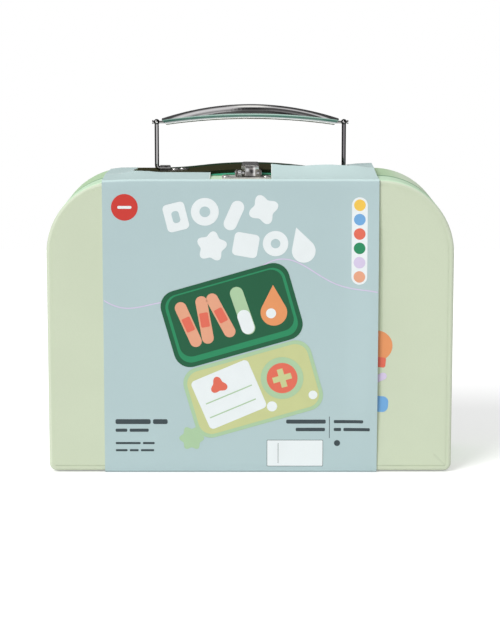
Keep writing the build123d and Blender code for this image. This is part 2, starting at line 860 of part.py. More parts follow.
# ---- Reflex hammer ----
hammer_y = tool_floor_y - tool_seat_gap - hammer_head_depth / 2
hammer_head_z = hammer_z + hammer_shaft_length

with BuildPart() as hammer_shaft:
    with Locations((hammer_x, hammer_y, hammer_z)):
        Cylinder(hammer_shaft_radius, hammer_shaft_length + hammer_tenon, align=FROM_BELOW)
    fillet(hammer_shaft.edges().sort_by(Axis.Z)[0], hammer_foot_round)

with BuildPart() as hammer_head:
    with BuildSketch(upright(hammer_y + hammer_head_depth / 2)) as wedge:
        with BuildLine():
            Polyline(
                (hammer_x - hammer_head_width / 2, hammer_head_z),
                (hammer_x + hammer_head_width / 2, hammer_head_z),
                (hammer_x + hammer_crown_width / 2, hammer_head_z + hammer_head_height),
                (hammer_x - hammer_crown_width / 2, hammer_head_z + hammer_head_height),
                close=True,
            )
        make_face()
        fillet(wedge.vertices(), hammer_corner)
    extrude(amount=hammer_head_depth)
    faces_across = hammer_head.faces().filter_by(Axis.Y)
    fillet(faces_across.edges(), hammer_edge)
    with Locations((hammer_x, hammer_y, hammer_head_z)):
        Cylinder(hammer_shaft_radius, hammer_tenon, align=FROM_BELOW, mode=Mode.SUBTRACT)

# ---- Thermometer ----
thermometer_back_y = tool_floor_y - tool_seat_gap
thermometer_front_y = thermometer_back_y - thermometer_depth
thermometer_middle_z = thermometer_z + thermometer_length / 2

with BuildPart() as thermometer_body:
    with BuildSketch(upright(thermometer_back_y)):
        with Locations((thermometer_x, thermometer_middle_z)):
            SlotOverall(thermometer_length, thermometer_width, rotation=90)
    extrude(amount=thermometer_depth)
    fillet(thermometer_body.faces().filter_by(Axis.Y).edges(), thermometer_edge)
    with BuildSketch(upright(thermometer_front_y)):
        with Locations((thermometer_x, thermometer_middle_z)):
            SlotOverall(scale_length, scale_width, rotation=90)
    extrude(amount=-scale_depth, mode=Mode.SUBTRACT)

with BuildPart() as thermometer_scale:
    with BuildSketch(upright(thermometer_front_y + scale_depth)):
        with Locations((thermometer_x, thermometer_middle_z)):
            SlotOverall(scale_length, scale_width, rotation=90)
    extrude(amount=scale_depth - scale_recess)

with BuildPart() as thermometer_tip:
    tip_y = thermometer_back_y - thermometer_depth / 2
    with Locations((thermometer_x, tip_y, thermometer_z + thermometer_length)):
        Cone(tip_radius, tip_end_radius, tip_length, align=FROM_BELOW)

# ---- Bottle ----
bottle_back_y = tool_floor_y - tool_seat_gap
bottle_front_y = bottle_back_y - bottle_depth
bottle_y = (bottle_back_y + bottle_front_y) / 2

with BuildPart() as bottle_body:
    with BuildSketch(upright(bottle_back_y)) as bottle_outline:
        with Locations((bottle_x, bottle_z)):
            Rectangle(bottle_width, bottle_height, align=(Align.CENTER, Align.MIN))
        fillet(bottle_outline.vertices().group_by(Axis.Y)[-1], bottle_shoulder)
        fillet(bottle_outline.vertices().group_by(Axis.Y)[0], bottle_foot)
    extrude(amount=bottle_depth)
    fillet(bottle_body.faces().filter_by(Axis.Y).edges(), bottle_edge)
    with Locations((bottle_x, bottle_y, bottle_z + bottle_height - bottle_edge)):
        Cylinder(neck_radius, neck_length + bottle_edge, align=FROM_BELOW)

with BuildPart() as bottle_cap:
    with Locations((bottle_x, bottle_y, bottle_z + bottle_height + neck_length)):
        Cylinder(cap_radius, cap_length, align=FROM_BELOW)
    fillet(bottle_cap.edges().sort_by(Axis.Z)[-1], cap_round)

with BuildPart() as bottle_label:
    with BuildSketch(upright(bottle_front_y)):
        with Locations((bottle_x, bottle_z + label_z)):
            Circle(label_radius)
    extrude(amount=label_thickness)

# ---- Padded insert: a board of foam with a pocket for each tool and a finger groove ----
insert_front_y = tool_floor_y - insert_thickness


def pocket(x, low_z, high_z, width):
    """Pocket outline round a tool, with clearance on every side."""
    with Locations((x, low_z - pocket_clearance)):
        Rectangle(
            width + 2 * pocket_clearance,
            high_z - low_z + 2 * pocket_clearance,
            align=(Align.CENTER, Align.MIN),
            mode=Mode.SUBTRACT,
        )


with BuildPart() as tool_insert:
    with BuildSketch(upright(tool_floor_y)):
        add(case_face(lining_inset + insert_clearance))
        pocket(scope_x, scope_z, scope_body_z + scope_length, 2 * scope_ring_radius)
        pocket(syringe_x, syringe_z, flange_z, 2 * barrel_radius)
        pocket(syringe_x, flange_z, flange_z + flange_height, flange_span)
        pocket(syringe_x, flange_z, knob_z + knob_length + plunger_travel, 2 * knob_radius)
        pocket(hammer_x, hammer_z, hammer_head_z, 2 * hammer_shaft_radius)
        pocket(hammer_x, hammer_head_z, hammer_head_z + hammer_head_height, hammer_head_width)
        pocket(
            thermometer_x,
            thermometer_z,
            thermometer_z + thermometer_length + tip_length,
            thermometer_width,
        )
        pocket(bottle_x, bottle_z, bottle_z + bottle_height + neck_length + cap_length, bottle_width)
    extrude(amount=insert_thickness)
    with BuildSketch(upright(insert_front_y)):
        with Locations(((scope_x + bottle_x) / 2, finger_groove_z)):
            SlotOverall(bottle_x - scope_x, finger_groove_height)
    extrude(amount=-finger_groove_depth, mode=Mode.SUBTRACT)

# ---- Files ----
for name, piece in {
    "lid_panel": lid_panel.part,
    "lid_wall": lid_wall.part,
    "lid_facing": lid_facing.part,
    "lid_lining": lid_lining.part,
    "base_panel": base_panel.part,
    "base_wall": base_wall.part,
    "base_facing": base_facing.part,
    "base_lining": base_lining.part,
    "base_collar": base_collar.part,
    "hinge_tape_lid": tape_lid,
    "hinge_tape_base": tape_base,
    "sleeve_front": sleeve_front.part,
    "sleeve_back": sleeve_back.part,
    "handle_panel": handle_panel.part,
    "handle_bracket_left": bracket_left,
    "handle_bracket_right": bracket_right,
    "handle_rivets": handle_rivets.part,
    "rivet_washers": rivet_washers.part,
    "handle_leg_left": leg_left,
    "handle_leg_right": leg_right,
    "grip_tray": grip_tray.part,
    "grip_cap": grip_cap.part,
    "grip_wires": grip_wires.part,
    "latch_plate": latch_plate.part,
    "latch_pin": latch_pin.part,
    "latch_spring": latch_spring.part,
    "latch_lever": latch_lever.part,
    "latch_rivets": latch_rivets.part,
    "latch_catch": latch_catch.part,
    "catch_rivets": catch_rivets.part,
    "tool_insert": tool_insert.part,
    "scope_body": scope_body.part,
    "scope_ring": scope_ring.part,
    "scope_lens": scope_lens.part,
    "syringe_barrel": syringe_barrel.part,
    "syringe_flange": syringe_flange.part,
    "syringe_nozzle": syringe_nozzle.part,
    "syringe_plunger": syringe_plunger.part,
    "plunger_knob": plunger_knob.part,
    "hammer_shaft": hammer_shaft.part,
    "hammer_head": hammer_head.part,
    "thermometer_body": thermometer_body.part,
    "thermometer_scale": thermometer_scale.part,
    "thermometer_tip": thermometer_tip.part,
    "bottle_body": bottle_body.part,
    "bottle_cap": bottle_cap.part,
    "bottle_label": bottle_label.part,
}.items():
    save(piece, name)
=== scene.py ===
"""A toy doctor case in a printed card sleeve: finishes, card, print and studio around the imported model."""

import logging
import math
from dataclasses import dataclass, field
from enum import Enum
from typing import Callable, Iterable, Optional, Sequence

import bmesh
import bpy
from mathutils import Euler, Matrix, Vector
from mathutils.geometry import tessellate_polygon

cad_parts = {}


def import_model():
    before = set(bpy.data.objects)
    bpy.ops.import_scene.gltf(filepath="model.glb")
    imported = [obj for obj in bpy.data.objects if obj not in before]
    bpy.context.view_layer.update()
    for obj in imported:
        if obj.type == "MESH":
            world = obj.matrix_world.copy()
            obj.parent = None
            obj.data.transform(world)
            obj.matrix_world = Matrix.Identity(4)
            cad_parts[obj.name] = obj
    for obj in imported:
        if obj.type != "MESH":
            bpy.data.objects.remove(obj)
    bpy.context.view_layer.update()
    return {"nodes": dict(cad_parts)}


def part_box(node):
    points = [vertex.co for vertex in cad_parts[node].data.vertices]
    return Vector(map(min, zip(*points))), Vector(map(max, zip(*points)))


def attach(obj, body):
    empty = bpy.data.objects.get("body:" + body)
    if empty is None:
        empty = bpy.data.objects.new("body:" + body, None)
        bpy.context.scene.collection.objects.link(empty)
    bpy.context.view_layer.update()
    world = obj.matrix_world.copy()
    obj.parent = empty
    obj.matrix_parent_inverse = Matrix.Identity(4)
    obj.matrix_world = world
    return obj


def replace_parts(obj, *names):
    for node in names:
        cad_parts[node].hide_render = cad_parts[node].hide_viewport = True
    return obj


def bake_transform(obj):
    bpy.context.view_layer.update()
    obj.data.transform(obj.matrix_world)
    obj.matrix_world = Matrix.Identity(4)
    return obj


log = logging.getLogger("doctor_case")

MM = 0.001

Colour = tuple[float, float, float, float]
Point2 = tuple[float, float]
Point3 = tuple[float, float, float]
Loop = list[Point2]
Span = tuple[Optional[float], Optional[float]]
Piece = bpy.types.Object
Socket = bpy.types.NodeSocket


# ---------------------------------------------------------------- colours and shader helpers


class Tone(Enum):
    """The named colours of the case, its sleeve and its tools, and the tones of painted light, painted shade
    and painted reflections on them, as sRGB hex values.
    """

    BOARD = "c7d1b8"
    # painted light: the boards' paper is paler on faces that look up
    BOARD_TOP = "d0edcd"
    # the boards' rounded edges: partly rubbed wear, partly painted highlight
    BOARD_RIM = "cdd6c0"
    BOARD_LINE = "a9b69a"
    BOARD_SHADE = "c2ceb2"
    # painted shade in the gap along the seam between lid and base
    SEAM = "84aa88"
    BASE_BOARD = "bddbb2"
    # painted light: a paler patch on the base's right shoulder
    BASE_CORNER = "dcecd2"
    LINING = "cfcf9f"
    EMERALD = "1ea873"
    SHADE_GREEN = "3d6b54"
    # painted shade: the dark edge along the crowned top behind the handle, and the handle panel's back part
    CROWN_EDGE = "1c3a21"
    OLIVE = "38371c"
    # painted shade on the handle panel's front faces and rounded edges
    OLIVE_DARK = "171f0c"
    HINGE = "b9cdb0"
    CARD = "afc4c6"
    # painted light: the sleeve card is paler on faces that look up
    CARD_TOP = "c8dedd"
    # the card's white cut edge, and the painted highlight of a lit pane on the latch lever
    CARD_CORE = "eef1ee"
    BARE_CARD = "e4efec"
    WHITE_INK = "e3e9ea"
    CORAL_INK = "dc6a55"
    RED_INK = "c8382f"
    SALMON_INK = "dfa081"
    ORANGE_INK = "e0935f"
    YELLOW_INK = "edc250"
    BLUE_INK = "6fa5d6"
    LILAC_INK = "cfc3de"
    EMERALD_INK = "23875a"
    FOREST_INK = "17593a"
    BEIGE_INK = "c3c88f"
    MINT_INK = "a8c69f"
    DARK_INK = "3a464a"
    SALMON = "e9a284"
    CORAL = "e57c69"
    PALE_GREEN = "cbdcae"
    NEAR_BLACK = "1c2020"
    ORANGE = "e79a63"
    LABEL = "d7e4c4"
    INSERT = "187a50"
    PLATE = "f3f1ec"
    # painted shade on the latch plate's standing ears and right end
    DARK_STEEL = "625d56"
    SPRING_STEEL = "46433f"
    SHADED_WIRE = "a8a4a4"
    MIRRORED_DARK = "817d7a"
    MIRRORED_BLACK = "343133"
    MIRRORED_BEIGE = "aeab9e"
    # painted reflections in the grip's tray
    GRIP_GREY = "8f968f"
    GRIP_MINT = "cdf2e0"
    GRIP_GREEN = "548774"
    GRIP_PALE = "d8e4e0"

    def linear(self) -> Colour:
        """The colour in the renderer's linear space.

        Returns:
            Red, green, blue and an alpha of 1.
        """
        values = (int(self.value[i:i + 2], 16) / 255 for i in (0, 2, 4))
        red, green, blue = (v / 12.92 if v <= 0.04045 else ((v + 0.055) / 1.055) ** 2.4 for v in values)
        return (red, green, blue, 1.0)


def shaded(colour: Colour, factor: float) -> Colour:
    """The linear colour with each channel multiplied by the factor and held below 1."""
    return (*(min(1.0, channel * factor) for channel in colour[:3]), 1.0)


class NodeSheet:
    """Adds nodes to one tree and plugs them together, with lengths in metres."""

    def __init__(self, tree: bpy.types.NodeTree) -> None:
        """Empties the tree."""
        self.tree = tree
        tree.nodes.clear()

    def add(self, kind: str, **settings: object) -> bpy.types.Node:
        """Adds one node.

        Args:
            kind: Blender's node type.
            settings: Properties set on the node.

        Returns:
            The new node.
        """
        node = self.tree.nodes.new(kind)
        for key, value in settings.items():
            setattr(node, key, value)
        return node

    def plug(self, value: object, socket: Socket) -> None:
        """Feeds a socket with another socket or with a constant.

        Args:
            value: An output socket, a number or a colour.
            socket: The input to feed.
        """
        if isinstance(value, Socket):
            self.tree.links.new(value, socket)
        else:
            socket.default_value = value

    def coordinate(self, kind: str) -> Socket:
        """A texture coordinate, such as "Object" or "Normal"."""
        return self.add("ShaderNodeTexCoord").outputs[kind]

    def position(self, stretch: Point3 = (1, 1, 1)) -> Socket:
        """The object coordinates, stretched along each axis.

        Args:
            stretch: How many times longer a pattern becomes along X, Y and Z.

        Returns:
            The vector socket.
        """
        place = self.coordinate("Object")
        if stretch == (1, 1, 1):
            return place
        mapping = self.add("ShaderNodeMapping")
        self.plug(place, mapping.inputs["Vector"])
        mapping.inputs["Scale"].default_value = [1 / s for s in stretch]
        return mapping.outputs["Vector"]

    def part(self, kind: str, axis: str) -> Socket:
        """One number of a texture coordinate.

        Args:
            kind: The coordinate, such as "Object" or "Normal".
            axis: "X", "Y" or "Z".

        Returns:
            The number socket.
        """
        split = self.add("ShaderNodeSeparateXYZ")
        self.plug(self.coordinate(kind), split.inputs[0])
        return split.outputs[axis]

    def noise(self, size: float, detail: float = 3, stretch: Point3 = (1, 1, 1)) -> Socket:
        """Soft noise.

        Args:
            size: The rough size of its blobs, in metres.
            detail: How many finer layers it has.
            stretch: How much longer the blobs are along each axis.

        Returns:
            The factor socket, from 0 to 1.
        """
        node = self.add("ShaderNodeTexNoise")
        self.plug(self.position(stretch), node.inputs["Vector"])
        node.inputs["Scale"].default_value = 1 / size
        node.inputs["Detail"].default_value = detail
        return node.outputs["Fac"]

    def ramp(self, value: Socket, low: float, high: float, start: float = 0, end: float = 1) -> Socket:
        """A smooth step between two values of a socket.

        Args:
            value: The socket that drives it.
            low: Where it is at start.
            high: Where it is at end.
            start: The result at low.
            end: The result at high.

        Returns:
            The result socket.
        """
        node = self.add("ShaderNodeMapRange", interpolation_type="SMOOTHSTEP")
        for socket, number in zip(node.inputs[1:5], (low, high, start, end)):
            socket.default_value = number
        self.plug(value, node.inputs[0])
        return node.outputs[0]

    def math(self, operation: str, first: object, second: object = 0.0) -> Socket:
        """One arithmetic step.

        Args:
            operation: Blender's name of it, such as "MULTIPLY".
            first: The first value or socket.
            second: The second value or socket.

        Returns:
            The result socket.
        """
        node = self.add("ShaderNodeMath", operation=operation)
        self.plug(first, node.inputs[0])
        self.plug(second, node.inputs[1])
        return node.outputs[0]

    def mix(self, factor: object, first: object, second: object) -> Socket:
        """A blend of two colours.

        Args:
            factor: 0 gives the first, 1 the second.
            first: A colour or socket.
            second: A colour or socket.

        Returns:
            The colour socket.
        """
        node = self.add("ShaderNodeMix", data_type="RGBA")
        self.plug(factor, node.inputs["Factor"])
        colours = [s for s in node.inputs if s.type == "RGBA"]
        self.plug(first, colours[0])
        self.plug(second, colours[1])
        return next(s for s in node.outputs if s.type == "RGBA")

    def bands(self, value: Socket, stops: Sequence[tuple[float, Colour]]) -> Socket:
        """Colours that run into each other along a value.

        Args:
            value: The socket that drives it, from 0 to 1.
            stops: Pairs of place and colour, in order.

        Returns:
            The colour socket.
        """
        node = self.add("ShaderNodeValToRGB")
        self.plug(value, node.inputs[0])
        elements = node.color_ramp.elements
        while len(elements) > 1:
            elements.remove(elements[-1])
        for i, (place, colour) in enumerate(stops):
            element = elements[0] if i == 0 else elements.new(place)
            element.position = place
            element.color = colour
        return node.outputs["Color"]

    def bump(self, height: Socket, depth: float, strength: float) -> Socket:
        """A relief.

        Args:
            height: The socket that gives the height, from 0 to 1.
            depth: The height of 1, in metres.
            strength: How much of it shows.

        Returns:
            The normal socket.
        """
        node = self.add("ShaderNodeBump")
        node.inputs["Distance"].default_value = depth
        node.inputs["Strength"].default_value = strength
        self.plug(height, node.inputs["Height"])
        return node.outputs["Normal"]

    def shader(self, kind: str, **inputs: object) -> Socket:
        """A shader node.

        Args:
            kind: Blender's node type.
            inputs: What feeds its inputs, with _ for each space in their names.

        Returns:
            The shader socket.
        """
        node = self.add(kind)
        for name, value in inputs.items():
            self.plug(value, node.inputs[name.replace("_", " ")])
        return node.outputs[0]

    def join(self, kind: str, *sockets: Socket) -> Socket:
        """A node that joins shaders, such as a mix or a sum.

        Args:
            kind: Blender's node type.
            sockets: What feeds its inputs, in order.

        Returns:
            The shader socket.
        """
        node = self.add(kind)
        for socket, entry in zip(sockets, node.inputs):
            self.plug(socket, entry)
        return node.outputs[0]

    def end(self, surface: Socket, kind: str = "ShaderNodeOutputMaterial") -> None:
        """Ends the tree in an output node that shows the surface."""
        self.plug(surface, self.add(kind).inputs["Surface"])


# ---------------------------------------------------------------- finishes


@dataclass(frozen=True)
class Zone:
    """A box of space where a finish has another colour, with soft edges and, at None, an open side."""

    tone: Tone
    x: Span = (None, None)
    y: Span = (None, None)
    z: Span = (None, None)
    fade: float = 0.05 * MM

    def inside(self, sheet: NodeSheet) -> Socket:
        """How far a point lies in the zone.

        Args:
            sheet: The node tree to add to.

        Returns:
            A socket that is 1 inside and 0 outside.
        """
        share: object = 1.0
        for axis, (low, high) in zip("XYZ", (self.x, self.y, self.z)):
            place = sheet.part("Object", axis)
            if low is not None:
                entered = sheet.ramp(place, low - self.fade, low + self.fade)
                share = sheet.math("MULTIPLY", share, entered)
            if high is not None:
                kept = sheet.ramp(place, high - self.fade, high + self.fade, 1, 0)
                share = sheet.math("MULTIPLY", share, kept)
        return share


@dataclass(frozen=True)
class Finish:
    """A surface that makes its own procedural material."""

    name: str
    tone: Tone

    def material(self) -> bpy.types.Material:
        """The finish's material, made once.

        Returns:
            The material, with its node tree.
        """
        made = bpy.data.materials.get(self.name)
        if made is None:
            made = bpy.data.materials.new(self.name)
            made.use_nodes = True
            sheet = NodeSheet(made.node_tree)
            sheet.end(self.surface(sheet))
        return made

    def surface(self, sheet: NodeSheet) -> Socket:
        """The finish's shader."""
        raise NotImplementedError

    def mottled(self, sheet: NodeSheet, pattern: Socket, dark: float, light: float) -> Socket:
        """The finish's own colour, times dark where the pattern is 0 and times light where it is 1."""
        colour = self.tone.linear()
        return sheet.mix(pattern, shaded(colour, dark), shaded(colour, light))

    @staticmethod
    def patched(sheet: NodeSheet, shown: Socket, zones: Iterable[Zone]) -> Socket:
        """A colour with zones of other colours over it.

        Args:
            sheet: The node tree to add to.
            shown: The colour under the zones.
            zones: The zones, the lowest first.

        Returns:
            The colour socket.
        """
        for zone in zones:
            shown = sheet.mix(zone.inside(sheet), shown, zone.tone.linear())
        return shown


@dataclass(frozen=True)
class Paper(Finish):
    """Matt paper over board: fibres, faint clouds, zones of other colour and a crease, with optional tones by
    face direction.

    The edge tone is partly rubbed wear and partly painted highlight where it is paler, and painted shade
    where it is darker; the top tone is painted light and the front tone painted shade; most zones are painted
    light and shade, and the crease's darker line is painted shade.
    """

    fibre: float = 0.45 * MM
    contrast: float = 0.045
    roughness: float = 0.62
    relief: float = 0.025 * MM
    cloud: float = 55 * MM
    lump: float = 4 * MM
    shine: float = 0.32
    # the tone of rounded edges: a paler one is partly rubbed wear and partly painted highlight, a darker one
    # is painted shade
    rim: Optional[Tone] = None
    # painted light: a paler tone on faces that look up
    top: Optional[Tone] = None
    # painted shade: a darker tone on faces that look ahead
    front: Optional[Tone] = None
    zones: tuple[Zone, ...] = ()
    crease: Optional[tuple[Point2, Point2]] = None

    def surface(self, sheet: NodeSheet) -> Socket:
        """Makes the paper.

        Args:
            sheet: The node tree to add to.

        Returns:
            The shader socket.
        """
        colour = self.tone.linear()
        fibres = sheet.noise(self.fibre, 4, (1, 1, 2.4))
        clouds = sheet.ramp(sheet.noise(self.cloud, 2), 0.35, 0.7, 0, 0.5)
        shown = self.mottled(sheet, fibres, 1 - self.contrast, 1 + self.contrast)
        shown = sheet.mix(clouds, shown, shaded(colour, 1 - self.contrast))
        # painted light on the faces that look up
        if self.top is not None:
            upward = sheet.ramp(sheet.part("Normal", "Z"), 0.25, 0.9)
            shown = sheet.mix(upward, shown, self.top.linear())
        # the rounded edges: partly rubbed wear and painted highlight where the tone is paler, painted shade
        # where it is darker
        if self.rim is not None:
            flat = sheet.math("ABSOLUTE", sheet.part("Normal", "Y"))
            corner = sheet.math("MULTIPLY", sheet.ramp(flat, 0.45, 0.75), sheet.ramp(flat, 0.999, 0.93))
            shown = sheet.mix(sheet.math("MULTIPLY", corner, 0.85), shown, self.rim.linear())
        # painted shade on the faces that look ahead
        if self.front is not None:
            ahead = sheet.ramp(sheet.part("Normal", "Y"), -0.7, -0.95)
            shown = sheet.mix(ahead, shown, self.front.linear())
        shown = self.patched(sheet, shown, self.zones)
        height = sheet.math("ADD", fibres, sheet.math("MULTIPLY", sheet.noise(self.lump, 2), 1.5))
        # the darker line along the crease is painted shade; the dip in the relief is the fold
        if self.crease is not None:
            fold = self._fold(sheet)
            shown = sheet.mix(sheet.math("MULTIPLY", fold, 0.28), shown, shaded(colour, 0.72))
            height = sheet.math("SUBTRACT", height, sheet.math("MULTIPLY", fold, 5))
        return sheet.shader(
            "ShaderNodeBsdfPrincipled",
            Base_Color=shown,
            Roughness=sheet.ramp(fibres, 0.2, 0.8, self.roughness - 0.05, self.roughness + 0.08),
            Normal=sheet.bump(height, self.relief, 0.7),
            Specular_IOR_Level=self.shine,
        )

    def _fold(self, sheet: NodeSheet) -> Socket:
        """A soft line where the paper was folded over a corner.

        Args:
            sheet: The node tree to add to.

        Returns:
            A socket that is 1 on the line and 0 away from it.
        """
        (x0, z0), (x1, z1) = self.crease
        length = math.hypot(x1 - x0, z1 - z0)
        x, z = sheet.part("Object", "X"), sheet.part("Object", "Z")

        def offset(dx: float, dz: float) -> Socket:
            """The distance from the line's start along the unit direction dx, dz."""
            reach = sheet.math("ADD", sheet.math("MULTIPLY", x, dx), sheet.math("MULTIPLY", z, dz))
            return sheet.math("SUBTRACT", reach, x0 * dx + z0 * dz)

        across = offset((z1 - z0) / length, -(x1 - x0) / length)
        travel = offset((x1 - x0) / length, (z1 - z0) / length)
        near = sheet.ramp(sheet.math("ABSOLUTE", across), 0.2 * MM, 1.1 * MM, 1, 0)
        begun = sheet.ramp(travel, 0, 2 * MM)
        ended = sheet.ramp(travel, length - 2 * MM, length, 1, 0)
        return sheet.math("MULTIPLY", near, sheet.math("MULTIPLY", begun, ended))


@dataclass(frozen=True)
class Card(Finish):
    """Printed sleeve card, with painted light that makes it paler on the faces that look up."""

    # painted light: the tone of the faces that look up
    top: Tone = Tone.CARD_TOP
    fibre: float = 0.5 * MM
    cloud: float = 60 * MM
    lump: float = 6 * MM
    zones: tuple[Zone, ...] = ()

    def surface(self, sheet: NodeSheet) -> Socket:
        """Makes the card.

        Args:
            sheet: The node tree to add to.

        Returns:
            The shader socket.
        """
        fibres = sheet.noise(self.fibre, 4, (1, 1, 2.2))
        clouds = sheet.ramp(sheet.noise(self.cloud, 2), 0.35, 0.7, 0, 0.4)
        shown = self.mottled(sheet, fibres, 0.975, 1.025)
        shown = sheet.mix(clouds, shown, shaded(self.tone.linear(), 0.96))
        # painted light on the faces that look up
        shown = sheet.mix(sheet.ramp(sheet.part("Normal", "Z"), 0.1, 0.8), shown, self.top.linear())
        height = sheet.math("ADD", fibres, sheet.math("MULTIPLY", sheet.noise(self.lump, 2), 2))
        return sheet.shader(
            "ShaderNodeBsdfPrincipled",
            Base_Color=self.patched(sheet, shown, self.zones),
            Roughness=sheet.ramp(fibres, 0.2, 0.8, 0.46, 0.58),
            Normal=sheet.bump(height, 0.02 * MM, 0.6),
            Specular_IOR_Level=0.35,
        )


@dataclass(frozen=True)
class Ink(Finish):
    """Offset ink on card, with the card's fibres and a fine uneven coverage."""

    gloss: float = 0.5
    fibre: float = 0.5 * MM
    cloud: float = 12 * MM

    def surface(self, sheet: NodeSheet) -> Socket:
        """Makes the ink.

        Args:
            sheet: The node tree to add to.

        Returns:
            The shader socket.
        """
        fibres = sheet.noise(self.fibre, 3, (1, 1, 2))
        thin = sheet.ramp(sheet.noise(self.cloud, 2), 0.4, 0.75, 0, 0.35)
        shown = self.mottled(sheet, fibres, 0.965, 1.03)
        return sheet.shader(
            "ShaderNodeBsdfPrincipled",
            Base_Color=sheet.mix(thin, shown, shaded(self.tone.linear(), 0.94)),
            Roughness=sheet.ramp(fibres, 0.2, 0.8, self.gloss - 0.04, self.gloss + 0.08),
            Normal=sheet.bump(fibres, 0.02 * MM, 0.5),
            Specular_IOR_Level=0.35,
        )


@dataclass(frozen=True)
class Cloth(Finish):
    """Book cloth: two sets of crossing threads."""

    pitch: float = 0.55 * MM

    def surface(self, sheet: NodeSheet) -> Socket:
        """Makes the woven cloth.

        Args:
            sheet: The node tree to add to.

        Returns:
            The shader socket.
        """
        threads = []
        for direction in ("X", "Y"):
            wave = sheet.add("ShaderNodeTexWave", wave_type="BANDS", bands_direction=direction)
            sheet.plug(sheet.position(), wave.inputs["Vector"])
            wave.inputs["Scale"].default_value = math.tau / (20 * self.pitch)
            wave.inputs["Distortion"].default_value = 0.6
            threads.append(wave.outputs["Fac"])
        weave = sheet.math("MULTIPLY", *threads)
        return sheet.shader(
            "ShaderNodeBsdfPrincipled",
            Base_Color=self.mottled(sheet, weave, 0.78, 1.06),
            Roughness=0.85,
            Normal=sheet.bump(weave, 0.12 * MM, 0.8),
            Sheen_Weight=0.25,
        )


@dataclass(frozen=True)
class PaintedWood(Finish):
    """Satin paint on turned wood, with faint grain and optional black spots."""

    spots: Optional[float] = None
    sheen: float = 0.36
    grain: float = 0.9 * MM
    peel: float = 1.6 * MM

    def surface(self, sheet: NodeSheet) -> Socket:
        """Makes the painted wood.

        Args:
            sheet: The node tree to add to.

        Returns:
            The shader socket.
        """
        grain = sheet.noise(self.grain, 3, (1, 1, 14))
        orange_peel = sheet.noise(self.peel, 2)
        shown = self.mottled(sheet, grain, 0.93, 1.05)
        if self.spots is not None:
            cells = sheet.add("ShaderNodeTexVoronoi")
            sheet.plug(sheet.position(), cells.inputs["Vector"])
            cells.inputs["Scale"].default_value = 1 / self.spots
            cells.inputs["Randomness"].default_value = 0.75
            spot = sheet.ramp(cells.outputs["Distance"], 0.26, 0.31, 1, 0)
            shown = sheet.mix(spot, shown, Tone.NEAR_BLACK.linear())
        return sheet.shader(
            "ShaderNodeBsdfPrincipled",
            Base_Color=shown,
            Roughness=sheet.ramp(orange_peel, 0.3, 0.7, self.sheen - 0.05, self.sheen + 0.07),
            Normal=sheet.bump(sheet.math("ADD", grain, orange_peel), 0.03 * MM, 0.6),
            Coat_Weight=0.25,
            Coat_Roughness=0.25,
        )


@dataclass(frozen=True)
class Plating(Finish):
    """Polished plating with smudges, fine wiping marks and a slight waviness, and optional painted reflection
    and painted shade: zones of other tones, and a darkening towards grazing angles.
    """

    roughness: float = 0.05
    wave: float = 0.02 * MM
    ripple: float = 9 * MM
    smudge: float = 7 * MM
    mark: float = 0.35 * MM
    # how much painted dark reflection covers the faces that turn away from the view
    painted_dark_rim: float = 0.0
    metal: float = 1.0
    zones: tuple[Zone, ...] = ()

    def surface(self, sheet: NodeSheet) -> Socket:
        """Makes the plated metal.

        Args:
            sheet: The node tree to add to.

        Returns:
            The shader socket.
        """
        smudge = sheet.noise(self.smudge, 4)
        marks = sheet.noise(self.mark, 2, (18, 3, 3))
        shown = self.patched(sheet, self.colour(sheet, smudge), self.zones)
        # painted reflection: darker towards grazing angles
        if self.painted_dark_rim > 0:
            turn = sheet.add("ShaderNodeLayerWeight")
            turn.inputs["Blend"].default_value = 0.5
            away = sheet.ramp(turn.outputs["Facing"], 0.02, 0.12, 0, self.painted_dark_rim)
            shown = sheet.mix(away, shown, Tone.NEAR_BLACK.linear())
        height = sheet.math("ADD", sheet.math("MULTIPLY", marks, 0.04), sheet.noise(self.ripple, 1))
        return sheet.shader(
            "ShaderNodeBsdfPrincipled",
            Base_Color=shown,
            Roughness=sheet.ramp(smudge, 0.35, 0.75, self.roughness, self.roughness + 0.07),
            Normal=sheet.bump(height, self.wave, 0.6),
            Metallic=self.metal,
        )

    def colour(self, sheet: NodeSheet, smudge: Socket) -> Socket:
        """The metal's own colour, which a soft noise dulls here and there."""
        return self.mottled(sheet, smudge, 0.94, 1.04)


@dataclass(frozen=True)
class BandedPlating(Plating):
    """Plating on an arched strip with a painted reflection, whose colour changes with the height above the
    strip's lower edge.
    """

    bands: tuple[tuple[float, Tone], ...] = ()
    middle_z: float = 0.0
    drop: float = 0.0
    half: float = 1.0
    height: float = 1.0

    def colour(self, sheet: NodeSheet, smudge: Socket) -> Socket:
        """The painted reflection's bands, by height above the arched lower edge.

        Args:
            sheet: The node tree to add to.
            smudge: A soft noise that dulls it here and there.

        Returns:
            The colour socket.
        """
        share = sheet.math("DIVIDE", sheet.part("Object", "X"), self.half)
        fall = sheet.math("MULTIPLY", sheet.math("MULTIPLY", share, share), self.drop)
        level = sheet.math("SUBTRACT", sheet.part("Object", "Z"), self.middle_z)
        above = sheet.math("DIVIDE", sheet.math("ADD", level, fall), self.height)
        banded = sheet.bands(above, [(place, tone.linear()) for place, tone in self.bands])
        return sheet.mix(sheet.ramp(smudge, 0.3, 0.8, 0, 0.12), banded, self.tone.linear())


# ---------------------------------------------------------------- meshes


def smoothstep(value: float, low: float, high: float) -> float:
    """A smooth step, 0 up to low and 1 from high on."""
    share = min(1.0, max(0.0, (value - low) / (high - low)))
    return share * share * (3 - 2 * share)


